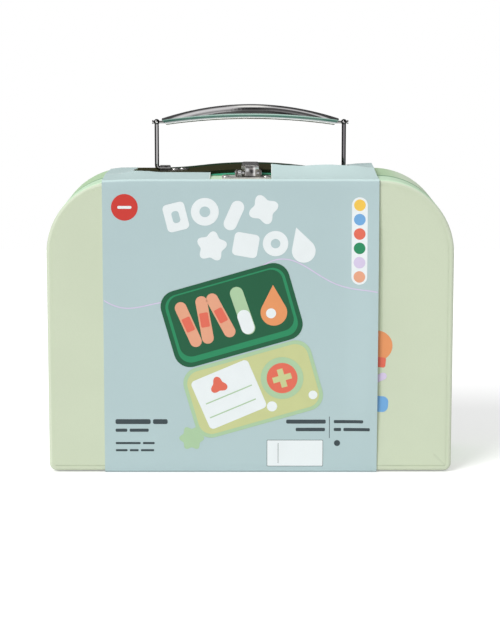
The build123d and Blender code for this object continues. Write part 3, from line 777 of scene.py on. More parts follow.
def blend_between(value: float, stops: Sequence[Point2]) -> float:
    """A smooth curve through a few stops.

    Args:
        value: Where it is read.
        stops: Pairs of place and height, in order.

    Returns:
        The height there, held past the ends.
    """
    if value <= stops[0][0]:
        return stops[0][1]
    for (x0, y0), (x1, y1) in zip(stops, stops[1:]):
        if value <= x1:
            return y0 + (y1 - y0) * smoothstep(value, x0, x1)
    return stops[-1][1]


def in_mm(*stops: Point2) -> tuple[Point2, ...]:
    """The stops in metres, from stops that are written in millimetres."""
    return tuple((place * MM, height * MM) for place, height in stops)


def spread(first: float, last: float, step: float) -> list[float]:
    """Even places from one value to another, both included, that lie at most a step apart."""
    count = max(1, math.ceil(abs(last - first) / step - 1e-9))
    return [first + (last - first) * i / count for i in range(count + 1)]


def piece_from(work: bmesh.types.BMesh, name: str, *finishes: Finish) -> Piece:
    """Turns a worked mesh, in the shared frame, into an object.

    Args:
        work: The worked mesh, which is freed.
        name: The object's name.
        finishes: The finish of each material slot, in order.

    Returns:
        The new object.
    """
    mesh = bpy.data.meshes.new(name)
    work.to_mesh(mesh)
    work.free()
    for finish in finishes:
        mesh.materials.append(finish.material())
    piece = bpy.data.objects.new(name, mesh)
    bpy.context.scene.collection.objects.link(piece)
    return piece


class Loops:
    """Closed outlines in millimetres, with X across and Z up, that the print is drawn from."""

    @staticmethod
    def turned(loop: Loop, centre: Point2, degrees: float) -> Loop:
        """Turns a loop about a point.

        Args:
            loop: The outline.
            centre: What it turns about.
            degrees: How far, anticlockwise.

        Returns:
            The turned outline.
        """
        c, s = math.cos(math.radians(degrees)), math.sin(math.radians(degrees))
        cx, cz = centre
        return [(cx + (x - cx) * c - (z - cz) * s, cz + (x - cx) * s + (z - cz) * c) for x, z in loop]

    @staticmethod
    def disc(cx: float, cz: float, radius: float, sides: int = 40) -> Loop:
        """A round outline about the centre cx, cz."""
        turns = (math.tau * i / sides for i in range(sides))
        return [(cx + radius * math.cos(t), cz + radius * math.sin(t)) for t in turns]

    @staticmethod
    def box(
        cx: float, cz: float, width: float, height: float, corner: float = 0.0, degrees: float = 0.0
    ) -> Loop:
        """A rounded box.

        Args:
            cx: The centre's X.
            cz: The centre's Z.
            width: Its size along X.
            height: Its size along Z.
            corner: The corner radius.
            degrees: How far it is turned.

        Returns:
            The outline.
        """
        corner = min(corner, width / 2 - MM, height / 2 - MM)
        steps = 8 if corner > 0 else 0
        loop: Loop = []
        for quarter, (sx, sz) in enumerate(((1, 1), (-1, 1), (-1, -1), (1, -1))):
            ox, oz = cx + sx * (width / 2 - corner), cz + sz * (height / 2 - corner)
            for i in range(steps + 1):
                turn = math.pi / 2 * (quarter + (i / steps if steps else 0))
                loop.append((ox + corner * math.cos(turn), oz + corner * math.sin(turn)))
        return Loops.turned(loop, (cx, cz), degrees)

    @staticmethod
    def petals(
        cx: float, cz: float, radius: float, count: int, depth: float, degrees: float = 0.0
    ) -> Loop:
        """A soft flower or star.

        Args:
            cx: The centre's X.
            cz: The centre's Z.
            radius: The middle radius.
            count: How many lobes it has.
            depth: How far the lobes stand out, as a share of the radius.
            degrees: How far it is turned.

        Returns:
            The outline.
        """
        sides = count * 12
        loop: Loop = []
        for i in range(sides):
            turn = math.tau * i / sides
            reach = radius * (1 + depth * math.cos(count * turn))
            loop.append((cx + reach * math.cos(turn), cz + reach * math.sin(turn)))
        return Loops.turned(loop, (cx, cz), degrees)

    @staticmethod
    def cross(cx: float, cz: float, size: float, arm: float) -> Loop:
        """A plain plus.

        Args:
            cx: The centre's X.
            cz: The centre's Z.
            size: Its whole width.
            arm: The width of an arm.

        Returns:
            The outline.
        """
        a, b = size / 2, arm / 2
        corners = [(b, b), (b, a), (-b, a), (-b, b), (-a, b), (-a, -b)]
        corners += [(-b, -b), (-b, -a), (b, -a), (b, -b), (a, -b), (a, b)]
        return [(cx + x, cz + z) for x, z in corners]

    @staticmethod
    def drop(cx: float, cz: float, radius: float, degrees: float = 0.0) -> Loop:
        """A drop with its point up.

        Args:
            cx: The round end's X.
            cz: The round end's Z.
            radius: The round end's radius.
            degrees: How far it is turned.

        Returns:
            The outline.
        """
        start, end, steps = math.radians(150), math.radians(390), 24
        loop = [(cx, cz + 2.1 * radius)]
        for i in range(steps + 1):
            turn = start + (end - start) * i / steps
            loop.append((cx + radius * math.cos(turn), cz + radius * math.sin(turn)))
        return Loops.turned(loop, (cx, cz), degrees)

    @staticmethod
    def ribbon(route: Sequence[Point2], width: float) -> Loop:
        """A line with a width.

        Args:
            route: The points that its middle follows.
            width: Its width.

        Returns:
            The outline.
        """
        left: Loop = []
        right: Loop = []
        for i, (x, z) in enumerate(route):
            before, after = route[max(0, i - 1)], route[min(len(route) - 1, i + 1)]
            dx, dz = after[0] - before[0], after[1] - before[1]
            length = math.hypot(dx, dz)
            ox, oz = -dz / length * width / 2, dx / length * width / 2
            left.append((x + ox, z + oz))
            right.append((x - ox, z - oz))
        return left + right[::-1]


@dataclass(frozen=True)
class Motif:
    """One printed shape: its outline in metres, its ink and its place in the stack of inks."""

    loop: Loop
    tone: Tone
    layer: int


@dataclass
class Print:
    """Printed shapes on one surface, gathered into one thin mesh for each ink."""

    prefix: str
    body: str
    surface: Callable[[float, float], float]
    motifs: list[Motif] = field(default_factory=list)
    lift: float = 0.05 * MM
    strip: float = 6 * MM

    def add(self, tone: Tone, layer: int, *loops: Loop) -> None:
        """Adds shapes of one ink.

        Args:
            tone: The ink.
            layer: Its place in the stack of inks, and 1 for the lowest.
            loops: The outlines, in millimetres.
        """
        for loop in loops:
            self.motifs.append(Motif([(x * MM, z * MM) for x, z in loop], tone, layer))

    def build(self) -> list[Piece]:
        """Makes one piece for each ink.

        Returns:
            The pieces.
        """
        made = []
        for tone in sorted({m.tone for m in self.motifs}, key=lambda t: t.name):
            work = bmesh.new()
            for motif in (m for m in self.motifs if m.tone is tone):
                self._add_shape(work, motif)
            ink = tone.name.lower()
            piece = piece_from(work, f"{self.prefix}_{ink}", Ink(f"ink_{ink}", tone))
            made.append(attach(piece, self.body))
        return made

    def _add_shape(self, work: bmesh.types.BMesh, motif: Motif) -> None:
        """Fills one outline and lays it on the surface, in strips that follow its bend.

        Args:
            work: The mesh that it goes into.
            motif: The shape.
        """
        flat = bmesh.new()
        corners = [flat.verts.new((x, 0, z)) for x, z in motif.loop]
        for triangle in tessellate_polygon([[Vector((x, z, 0)) for x, z in motif.loop]]):
            flat.faces.new([corners[i] for i in triangle])
        for reach, normal in zip(zip(*motif.loop), ((1, 0, 0), (0, 0, 1))):
            for cut in spread(min(reach), max(reach), self.strip)[1:-1]:
                everything = flat.verts[:] + flat.edges[:] + flat.faces[:]
                place = Vector(normal) * cut
                bmesh.ops.bisect_plane(flat, geom=everything, plane_co=place, plane_no=normal)
        for face in flat.faces:
            face.normal_update()
        if sum(face.normal.y * face.calc_area() for face in flat.faces) > 0:
            bmesh.ops.reverse_faces(flat, faces=flat.faces[:])
        raised = motif.layer * self.lift
        laid = {
            v: work.verts.new((v.co.x, self.surface(v.co.x, v.co.z) - raised, v.co.z)) for v in flat.verts
        }
        for face in flat.faces:
            work.faces.new([laid[v] for v in face.verts])
        flat.free()


# ---------------------------------------------------------------- the card sleeve


@dataclass
class Sleeve:
    """The printed card band round the closed case, slit along the lid's seam as the solids are."""

    thickness: float = 0.5 * MM
    bend: float = 1.5 * MM
    bend_steps: int = 4
    column: float = 4 * MM
    bottom_row: float = 6 * MM
    wall_row: float = 5 * MM
    top_row: float = 2.5 * MM
    notch: Point2 = (-27.2 * MM, 14.2 * MM)
    notch_front: float = 2.3 * MM
    bare_width: float = 0.5 * MM
    bare_y: Point2 = (-43 * MM, -13.5 * MM)
    bare_foot: float = 200 * MM
    window: Point2 = (-80 * MM, 68.5 * MM)
    window_drop: float = 6 * MM
    loose_from: float = 62 * MM
    loose_foot: float = 6 * MM
    drawn_in: float = 1.8 * MM
    drawn_from: float = 60 * MM
    curl_power: float = 1.6
    upper_share: float = 0.7

    # how far the top strips curl up at the slit, by their place along X
    curl: tuple[Point2, ...] = in_mm(
        (-99.5, 0.3), (-90, 0.8), (-80, 2.8), (-71, 2.6), (-62, 1.8), (-27.2, 1.7), (14.2, 7.5), (24, 6.6),
        (36, 6.2), (45, 6.8), (54, 7.1), (62, 6.6), (70, 6.3), (86.5, 4.6),
    )
    # how the back fold lies above its level line, by its place along X
    back_line: tuple[Point2, ...] = in_mm(
        (-99.5, -1.4), (-92, -0.4), (-80, -0.3), (58, 0.4), (70, 1.9), (76, 2.5), (86.5, 2.9)
    )
    # how the front fold follows the case's round corner on the left
    front_line: tuple[Point2, ...] = in_mm((-99.5, -0.8), (-78, 0.0))
    # how far the loose right edge stands off the lid, by its height
    loose_line: tuple[Point2, ...] = in_mm((0, 0.3), (25, 0.9), (60, 2.2), (110, 2.4), (150, 2.2), (195, 0.9))

    def __post_init__(self) -> None:
        """Reads the band's size from the two solids that it stands for."""
        front_low, front_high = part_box("sleeve_front")
        back_low, back_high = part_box("sleeve_back")
        self.left, self.right = front_low.x, front_high.x
        self.bottom, self.top = front_low.z, front_high.z
        self.front_y, self.front_slit = front_low.y, front_high.y
        self.back_y, self.back_slit = back_high.y, back_low.y

    def build(self) -> list[Piece]:
        """Makes the half that goes with the lid and the half that goes with the base."""
        return [self.front(), self.back()]

    def stand_off(self, x: float, z: float) -> float:
        """How far the front stands away from the lid at its loose right edge."""
        return smoothstep(x, self.loose_from, self.right) * blend_between(z, self.loose_line)

    def draw_in(self, x: float) -> float:
        """How far the loose right edge of the top strips is drawn to the middle at the slit."""
        return self.drawn_in * smoothstep(x, self.drawn_from, self.right)

    def face(self, x: float, z: float) -> float:
        """The Y of the card's printed face."""
        return self.front_y - self.stand_off(x, z)

    def face_finish(self) -> Card:
        """The card's face, bare and pale where the notch's sides were cut.

        Returns:
            The finish.
        """
        sides = (
            Zone(
                Tone.BARE_CARD, x=(x - self.bare_width, x + self.bare_width), y=self.bare_y,
                z=(self.bare_foot, None), fade=0.15 * MM,
            )
            for x in self.notch
        )
        return Card("sleeve_card_face", Tone.CARD, zones=tuple(sides))

    def front(self) -> Piece:
        """The half that goes with the lid: bottom strip, printed front and notched top strip.

        Returns:
            The piece.
        """

        def is_open(x: float, y: float, z: float) -> bool:
            """Whether the middle of a cell lies in the latch notch."""
            behind = y > self.front_y + self.notch_front
            return self.notch[0] < x < self.notch[1] and behind and z > self.top / 2

        path, columns = self._path(self.front_y, self.front_slit), self._columns(self.notch)
        piece = self._card("sleeve_front_card", "lid", path, columns, is_open, self._front_shift)
        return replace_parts(piece, "sleeve_front")

    def back(self) -> Piece:
        """The half that goes with the base: bottom strip, plain back and the two short top strips.

        Returns:
            The piece.
        """

        def is_open(x: float, y: float, z: float) -> bool:
            """Whether the middle of a cell lies in the handle's window."""
            return self.window[0] < x < self.window[1] and z > self.top - self.window_drop

        path, columns = self._path(self.back_y, self.back_slit), self._columns(self.window)
        piece = self._card("sleeve_back_card", "base", path, columns, is_open, self._back_shift)
        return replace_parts(piece, "sleeve_back")

    def _front_shift(self, x: float, y: float, z: float) -> Point3:
        """The front's bow, its fold line and the curl of its top strip.

        Args:
            x: The point's X.
            y: The point's Y.
            z: The point's Z.

        Returns:
            The moves in X, Y and Z.
        """
        share = min(1.0, (y - self.front_y) / (self.front_slit - self.front_y))
        forward = self.stand_off(x, z) * (1 - share) * smoothstep(z, 0, self.loose_foot)
        upper = smoothstep(z, self.top * self.upper_share, self.top)
        curled = blend_between(x, self.curl) * share ** self.curl_power * upper
        folded = blend_between(x, self.front_line) * (1 - share) * upper
        return -self.draw_in(x) * share * upper, -forward, curled + folded

    def _back_shift(self, x: float, y: float, z: float) -> Point3:
        """The line of the back fold and the curl at the slit.

        Args:
            x: The point's X.
            y: The point's Y.
            z: The point's Z.

        Returns:
            The moves in X, Y and Z.
        """
        share = max(0.0, min(1.0, (self.back_y - y) / (self.back_y - self.back_slit)))
        upper = smoothstep(z, self.top * self.upper_share, self.top)
        rear = blend_between(x, self.back_line)
        lift = rear + (blend_between(x, self.curl) - rear) * smoothstep(share, 0, 1)
        return -self.draw_in(x) * share * upper, 0.0, lift * upper

    def _path(self, outer_y: float, slit_y: float) -> list[Point2]:
        """The middle of the card's thickness from one slit edge, round two folds, to the other.

        Args:
            outer_y: The outside face of the upright panel.
            slit_y: Where the two strips end.

        Returns:
            Y and Z of each row, bottom strip first.
        """
        side = 1 if outer_y > slit_y else -1
        half = self.thickness / 2
        wall, low, high = outer_y - side * half, self.bottom + half, self.top - half
        turn_y = wall - side * self.bend
        turns = [math.pi / 2 * i / self.bend_steps for i in range(1, self.bend_steps + 1)]
        path = [(y, low) for y in spread(slit_y, turn_y, self.bottom_row)]
        for turn in turns:
            out, up = self.bend * math.sin(turn), self.bend * (1 - math.cos(turn))
            path.append((turn_y + side * out, low + up))
        path += [(wall, z) for z in spread(low + self.bend, high - self.bend, self.wall_row)[1:]]
        for turn in turns:
            out, down = self.bend * math.cos(turn), self.bend * (1 - math.sin(turn))
            path.append((turn_y + side * out, high - down))
        return path + [(y, high) for y in spread(turn_y, slit_y, self.top_row)[1:]]

    def _columns(self, edges: Point2) -> list[float]:
        """Places along X, with both cut edges among them.

        Args:
            edges: The X of each cut edge, in order.

        Returns:
            The columns, in order.
        """
        stops = [self.left, *edges, self.right]
        columns = [self.left]
        for low, high in zip(stops, stops[1:]):
            columns += spread(low, high, self.column)[1:]
        return columns

    def _card(
        self, name: str, body: str, path: list[Point2], columns: list[float],
        is_open: Callable[[float, float, float], bool], shift: Callable[[float, float, float], Point3],
    ) -> Piece:
        """Builds one bent sheet of card, without the cells that are cut out.

        Args:
            name: The piece's name.
            body: The body that it rides on.
            path: Y and Z of each row.
            columns: X of each column.
            is_open: Says whether the middle of a cell is cut out, from X, Y and Z.
            shift: The moves of a point in X, Y and Z, from its X, Y and Z.

        Returns:
            The piece.
        """
        work = bmesh.new()
        grid = []
        for y, z in path:
            moves = [shift(x, y, z) for x in columns]
            row = [(x + dx, y + dy, z + dz) for x, (dx, dy, dz) in zip(columns, moves)]
            grid.append([work.verts.new(place) for place in row])
        for (y0, z0), (y1, z1), lower, upper in zip(path, path[1:], grid, grid[1:]):
            for i, (x0, x1) in enumerate(zip(columns, columns[1:])):
                if not is_open((x0 + x1) / 2, (y0 + y1) / 2, (z0 + z1) / 2):
                    work.faces.new((lower[i], lower[i + 1], upper[i + 1], upper[i]))
        loose = [v for v in work.verts if not v.link_faces]
        bmesh.ops.delete(work, geom=loose, context="VERTS")
        bmesh.ops.recalc_face_normals(work, faces=work.faces[:])
        for face in work.faces:
            face.smooth = True
        cut_edge = Ink("sleeve_card_cut_edge", Tone.CARD_CORE, gloss=0.7)
        piece = piece_from(work, name, self.face_finish(), cut_edge)
        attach(piece, body)
        solid = piece.modifiers.new("thickness", "SOLIDIFY")
        solid.thickness = self.thickness
        solid.offset = 0
        solid.material_offset_rim = 1
        crisp = piece.modifiers.new("crisp cut edges", "EDGE_SPLIT")
        crisp.split_angle = math.radians(50)
        return piece


@dataclass
class SleevePrint:
    """A generic design of toy medicine shapes on the sleeve's front, with its sizes in millimetres."""

    sleeve: Sleeve
    seal: Point3 = (-84.5, 182.5, 9)
    thread_height: float = 128
    thread_width: float = 0.75
    swatch_top: Point2 = (73.5, 184)
    swatch_step: float = 9.7
    tin: Point2 = (-6, 86)
    tin_tilt: float = 16
    word_gap: float = 1.6

    def __post_init__(self) -> None:
        """Starts an empty print on the sleeve's front."""
        self.sheet = Print("sleeve_print", "lid", self.sleeve.face)

    def build(self) -> list[Piece]:
        """Draws every part of the design.

        Returns:
            The printed pieces.
        """
        self.sticker()
        self.thread()
        self.big_shapes()
        self.swatches()
        self.first_aid_tin()
        self.captions()
        return self.sheet.build()

    def sticker(self) -> None:
        """A round red seal with a white bar, top left."""
        cx, cz, radius = self.seal
        self.sheet.add(Tone.RED_INK, 1, Loops.disc(cx, cz, radius))
        self.sheet.add(Tone.WHITE_INK, 2, Loops.box(cx, cz, 9.5, 1.9, 0.9))

    def thread(self) -> None:
        """A thin lilac line that wanders across the whole front."""
        route = []
        for x in spread(-99, 86, 1.5):
            across = x / 60
            wave = 15 * math.sin(across * 2.1 + 0.6) + 5 * math.sin(across * 5)
            route.append((x, self.thread_height + wave))
        self.sheet.add(Tone.LILAC_INK, 1, Loops.ribbon(route, self.thread_width))

    def big_shapes(self) -> None:
        """Two tilted rows of chunky white building shapes, three of them with a hole."""
        tile, ring, small_ring = (-50, 176), (-30.5, 179.5), (17, 158)
        upper = (
            Loops.box(*tile, 15, 19, 3, 14),
            Loops.disc(*ring, 9.4),
            Loops.box(-11, 177, 9, 21, 4.5, -24),
            Loops.petals(9, 181, 8.6, 4, 0.2, 20),
        )
        lower = (
            Loops.petals(-26, 156, 9, 5, 0.16, 10),
            Loops.box(-3, 157, 17, 16, 3, -10),
            Loops.disc(*small_ring, 8.6),
            Loops.drop(36, 153, 8, 18),
        )
        holes = (Loops.disc(*ring, 3.6), Loops.disc(*small_ring, 3.2), Loops.box(*tile, 5, 8, 2, 14))
        self.sheet.add(Tone.WHITE_INK, 2, *upper, *lower)
        self.sheet.add(Tone.CARD, 3, *holes)

    def swatches(self) -> None:
        """Plain colour dots in a white strip, top right."""
        tones = (
            Tone.YELLOW_INK, Tone.BLUE_INK, Tone.CORAL_INK, Tone.EMERALD_INK, Tone.LILAC_INK, Tone.SALMON_INK
        )
        (x, top), step = self.swatch_top, self.swatch_step
        middle = top - step * (len(tones) - 1) / 2
        self.sheet.add(Tone.WHITE_INK, 2, Loops.box(x, middle, 10.6, step * len(tones) + 1, 5.3))
        for i, tone in enumerate(tones):
            self.sheet.add(tone, 3, Loops.disc(x, top - i * step, 3.9))

    def first_aid_tin(self) -> None:
        """A tilted open tin: plasters, a capsule and a drop in it, a note and a round badge in its lid."""

        def put(tone: Tone, layer: int, *loops: Loop) -> None:
            """Adds shapes that tilt with the tin."""
            self.sheet.add(tone, layer, *(Loops.turned(loop, self.tin, self.tin_tilt) for loop in loops))

        cx, cz = self.tin
        tray_z, lid_z = cz + 24, cz - 29
        put(Tone.FOREST_INK, 3, Loops.box(cx, tray_z, 90, 54, 11))
        put(Tone.EMERALD_INK, 4, Loops.box(cx, tray_z, 84, 48, 9))
        put(Tone.FOREST_INK, 5, Loops.box(cx, tray_z + 1.5, 80, 43, 8))
        put(Tone.MINT_INK, 3, Loops.box(cx, lid_z, 90, 50, 11))
        put(Tone.BEIGE_INK, 4, Loops.box(cx, lid_z, 85, 45, 9))
        for i, degrees in enumerate((8, -6, 12)):
            plaster = (cx - 30 + i * 11.5, tray_z + 2)
            put(Tone.SALMON_INK, 6, Loops.box(*plaster, 8, 33, 4, degrees))
            put(Tone.CORAL_INK, 7, Loops.box(*plaster, 6, 10, 1, degrees))
        put(Tone.MINT_INK, 6, Loops.box(cx + 8, tray_z + 1, 9, 34, 4.5, 3))
        put(Tone.WHITE_INK, 7, Loops.box(cx + 8, tray_z - 7, 9, 17, 4.5, 3))
        put(Tone.ORANGE_INK, 6, Loops.drop(cx + 28, tray_z - 6, 9, -14))
        put(Tone.WHITE_INK, 7, Loops.disc(cx + 26, tray_z - 6, 3.4))
        put(Tone.WHITE_INK, 5, Loops.box(cx - 17, lid_z + 1, 42, 36, 3, 7))
        put(Tone.MINT_INK, 6, *(Loops.box(cx - 17, lid_z + rule, 34, 0.8, 0, 7) for rule in (1, -9)))
        put(Tone.CORAL_INK, 6, Loops.petals(cx - 22, lid_z + 9, 5, 3, 0.25, 90))
        badge = (cx + 21, lid_z + 2)
        put(Tone.MINT_INK, 6, Loops.disc(*badge, 14.5))
        put(Tone.CORAL_INK, 7, Loops.disc(*badge, 10.5))
        put(Tone.BEIGE_INK, 8, Loops.cross(*badge, 13, 4))
        put(Tone.WHITE_INK, 5, Loops.disc(cx + 9, lid_z - 15, 3.5), Loops.disc(cx + 38, lid_z - 15, 3))

    def captions(self) -> None:
        """Bars in place of words, a thin rule and a plain white panel, along the bottom."""
        lines = (
            (-92, 35.5, (24, 10), 3.4), (-92, 29.5, (8, 13), 2.2), (-92, 20.5, (17, 8), 1.5),
            (-92, 15.5, (8, 6, 9), 1.5), (24.5, 35.5, (27,), 2.8), (31, 30, (20,), 2.4),
            (57, 35.5, (20,), 2.2), (57, 30, (5, 18), 2.2),
        )
        for x, z, words, height in lines:
            for word in words:
                self.sheet.add(Tone.DARK_INK, 1, Loops.box(x + word / 2, z, word, height, height / 3))
                x += word + self.word_gap
        panel = (30.5, 13.5)
        self.sheet.add(Tone.DARK_INK, 1, Loops.box(54, 31.5, 0.4, 15), Loops.disc(59.3, 20.5, 2.1))
        self.sheet.add(Tone.DARK_INK, 1, Loops.box(*panel, 38.5, 18.5, 0.6))
        self.sheet.add(Tone.WHITE_INK, 2, Loops.box(*panel, 37.9, 17.9, 0.5))
        self.sheet.add(Tone.DARK_INK, 3, Loops.box(19, 13.5, 0.3, 14))
        self.sheet.add(Tone.MINT_INK, 2, Loops.petals(-40, 24, 7.5, 6, 0.14))


# ---------------------------------------------------------------- the parts of the case


class SubAssembly:
    """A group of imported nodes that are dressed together."""

    def finishes(self) -> dict[Finish, tuple[str, ...]]:
        """The nodes that each finish goes on."""
        raise NotImplementedError

    def dress(self, nodes: dict[str, Piece]) -> set[str]:
        """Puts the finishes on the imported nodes.

        Args:
            nodes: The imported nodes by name.

        Returns:
            The names of the nodes that were dressed.
        """
        dressed = set()
        for finish, names in self.finishes().items():
            for name in names:
                for slot in nodes[name].material_slots:
                    slot.material = finish.material()
                log.info("%s is dressed in %s", name, finish.name)
            dressed.update(names)
        return dressed


@dataclass
class Lid(SubAssembly):
    """The front half of the case: boards in wrapped paper, the facing sheet, its print and the lining."""

    crease: float = 8.5 * MM
    crease_past: float = 0.5 * MM
    border: float = 0.4 * MM
    border_past: float = 0.5 * MM
    shade_under: float = 4 * MM

    # the width and the lower end of each step of the painted shade in the gap along the seam
    seam_shade_steps: tuple[Point2, ...] = in_mm((0.5, 178), (1.3, 185), (2.2, 190))
    # how far the card's shade reaches to the right, and its lower and upper end, in millimetres
    shade_steps: tuple[Point3, ...] = ((1.1, 14, 192), (1.8, 26, 182), (2.5, 42, 168), (3.1, 66, 150))

    def finishes(self) -> dict[Finish, tuple[str, ...]]:
        """The lid's papers.

        Returns:
            The nodes that each finish goes on.
        """
        green = dict(tone=Tone.BOARD, rim=Tone.BOARD_RIM)
        low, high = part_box("lid_facing")
        folded = (high.x - self.crease, low.z + self.crease)
        crease = (folded, (high.x + self.crease_past, low.z - self.crease_past))
        border = Zone(
            Tone.BOARD_LINE, x=(low.x, high.x), y=(None, high.y + self.border_past),
            z=(low.z - self.border, low.z), fade=0.1 * MM,
        )
        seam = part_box("lid_wall")[1].y
        seam_shades = tuple(
            Zone(Tone.SEAM, y=(seam - wide, None), z=(foot, None), fade=0.8 * MM)
            for wide, foot in self.seam_shade_steps
        )
        return {
            Paper("green_panel_paper", **green, top=Tone.BOARD_TOP, zones=(border,)): ("lid_panel",),
            Paper("green_board_paper", **green, top=Tone.BOARD_TOP, zones=seam_shades): ("lid_wall",),
            Paper("green_front_paper", **green, crease=crease, zones=self.card_shade()): ("lid_facing",),
            Paper("lid_lining_paper", Tone.LINING): ("lid_lining",),
        }

    def card_shade(self) -> tuple[Zone, ...]:
        """The soft shade beside the card's loose right edge, widest at half height.

        Returns:
            The zones, from the longest to the widest.
        """
        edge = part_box("sleeve_front")[1].x
        return tuple(
            Zone(
                Tone.BOARD_SHADE, x=(edge - self.shade_under, edge + wide * MM), z=(foot * MM, head * MM),
                fade=0.4 * MM,
            )
            for wide, foot, head in self.shade_steps
        )

    def build(self) -> list[Piece]:
        """Prints the lid's front: a few plain coloured blocks that the sleeve half covers.

        Returns:
            The printed pieces.
        """
        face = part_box("lid_facing")[0].y
        sheet = Print("lid_print", "lid", lambda x, z: face)
        sheet.add(Tone.ORANGE_INK, 1, Loops.disc(86, 88, 10.5))
        sheet.add(Tone.LILAC_INK, 2, Loops.box(88, 66, 10, 5, 2.5, 24))
        sheet.add(Tone.CORAL_INK, 2, Loops.box(85.5, 77, 13, 7, 1.5, -6))
        sheet.add(Tone.BLUE_INK, 1, Loops.box(84, 48, 20, 11, 4, -4))
        return sheet.build()


@dataclass
class Base(SubAssembly):
    """The back half of the case: wrapped boards, the emerald collar and lining, and the handle's panel."""

    lip: float = 0.35 * MM
    shaded_from: Point2 = (-18 * MM, 200 * MM)
    # where the painted shade lies along the crowned top behind the handle: its span, depth from the back and
    # lower end
    crown_x: Span = (-76 * MM, 72 * MM)
    crown_depth: float = 10 * MM
    crown_foot: float = 201 * MM
    panel_far_x: float = -56 * MM
    panel_far_depth: float = 15 * MM
    lit_x: Span = (101 * MM, 124 * MM)
    lit_gap: float = 3 * MM
    lit_foot: float = 160 * MM

    # the width and the lower end of each step of the painted shade in the gap along the seam
    seam_shade_steps: tuple[Point2, ...] = in_mm((0.4, 178), (1.1, 185), (1.8, 190))

    def finishes(self) -> dict[Finish, tuple[str, ...]]:
        """The base's papers.

        Returns:
            The nodes that each finish goes on.
        """
        low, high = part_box("base_wall")
        mouth, back = low.y + self.lip, high.y
        seam_shades = (
            Zone(Tone.SEAM, y=(None, mouth + wide), z=(foot, None), fade=0.8 * MM)
            for wide, foot in self.seam_shade_steps
        )
        lip = Zone(Tone.EMERALD, y=(None, mouth))
        shaded_x, shaded_z = self.shaded_from
        shade = Zone(
            Tone.SHADE_GREEN, x=(shaded_x, None), y=(None, mouth), z=(shaded_z, None), fade=1.5 * MM
        )
        # painted shade along the back of the crowned top, behind the handle
        crown = Zone(
            Tone.CROWN_EDGE, x=self.crown_x, y=(back - self.crown_depth, None), z=(self.crown_foot, None),
            fade=0.5 * MM,
        )
        # painted light on the base's right shoulder
        lit = Zone(
            Tone.BASE_CORNER, x=self.lit_x, y=(mouth + self.lit_gap, None), z=(self.lit_foot, None),
            fade=8 * MM,
        )
        # painted shade on the back part of the handle panel
        far = Zone(
            Tone.CROWN_EDGE, x=(self.panel_far_x, None), y=(back - self.panel_far_depth, None), fade=3 * MM
        )
        walls = (lit, *seam_shades, lip, shade, crown)
        rear = Paper("green_back_paper", Tone.BOARD, rim=Tone.BOARD_RIM, zones=(crown,))
        emerald = dict(tone=Tone.EMERALD, contrast=0.08, shine=0.15)
        # painted shade: the handle panel darker on its front faces and rounded edges
        dark = dict(contrast=0.15, shine=0.12, rim=Tone.OLIVE_DARK, front=Tone.OLIVE_DARK)
        return {
            Paper("base_board_paper", Tone.BASE_BOARD, rim=Tone.BOARD_RIM, zones=walls): ("base_wall",),
            rear: ("base_panel", "base_facing"),
            Paper("emerald_paper", **emerald): ("base_lining",),
            Paper("collar_paper", **emerald, zones=(shade,)): ("base_collar",),
            Paper("olive_panel_paper", Tone.OLIVE, **dark, zones=(far,)): ("handle_panel",),
        }


# the nickel on the rivets, the washers and the right bracket
NICKEL = Plating("nickel_plate", Tone.PLATE, roughness=0.3, wave=0.12 * MM, ripple=5 * MM)
# what the more uneven platings of the left bracket, the latch plate and the lever share
UNEVEN = dict(tone=Tone.PLATE, wave=0.25 * MM, ripple=3 * MM)


@dataclass
class Handle(SubAssembly):
    """The folding handle: two wire legs, the pressed grip on its folded tray, and the riveted brackets."""

    tray_rise: float = 4 * MM

    def finishes(self) -> dict[Finish, tuple[str, ...]]:
        """The handle's platings.

        Returns:
            The nodes that each finish goes on.
        """
        # the wires and the left bracket darken towards their edges by painted reflection; the right leg's
        # greyer tone is painted shade
        wire = Plating("chrome_wire", Tone.PLATE, painted_dark_rim=0.96)
        shaded_wire = Plating("shaded_chrome_wire", Tone.SHADED_WIRE, painted_dark_rim=0.9)
        bracket = Plating("bracket_nickel", **UNEVEN, roughness=0.12, painted_dark_rim=0.7)
        return {
            Plating("chrome_plate", Tone.PLATE): ("grip_cap",),
            self.tray_plating(): ("grip_tray",),
            wire: ("handle_leg_left", "grip_wires"),
            shaded_wire: ("handle_leg_right",),
            bracket: ("handle_bracket_left",),
            NICKEL: ("handle_bracket_right", "handle_rivets", "rivet_washers"),
        }

    def tray_plating(self) -> BandedPlating:
        """The plating of the grip's tray, with a painted reflection of the green case under it.

        Returns:
            The finish.
        """
        low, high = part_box("grip_tray")
        drop = high.z - low.z - self.tray_rise
        # the painted reflection's bands, from the tray's lower edge up
        bands = (
            (0.0, Tone.PLATE), (0.2, Tone.PLATE), (0.36, Tone.GRIP_PALE), (0.48, Tone.GRIP_GREEN),
            (0.7, Tone.GRIP_GREEN), (0.84, Tone.GRIP_MINT), (0.95, Tone.GRIP_MINT), (1.0, Tone.GRIP_GREY),
        )
        return BandedPlating(
            "tray_plate", Tone.PLATE, roughness=0.16, bands=bands, middle_z=low.z + drop, drop=drop,
            half=high.x, height=self.tray_rise,
        )


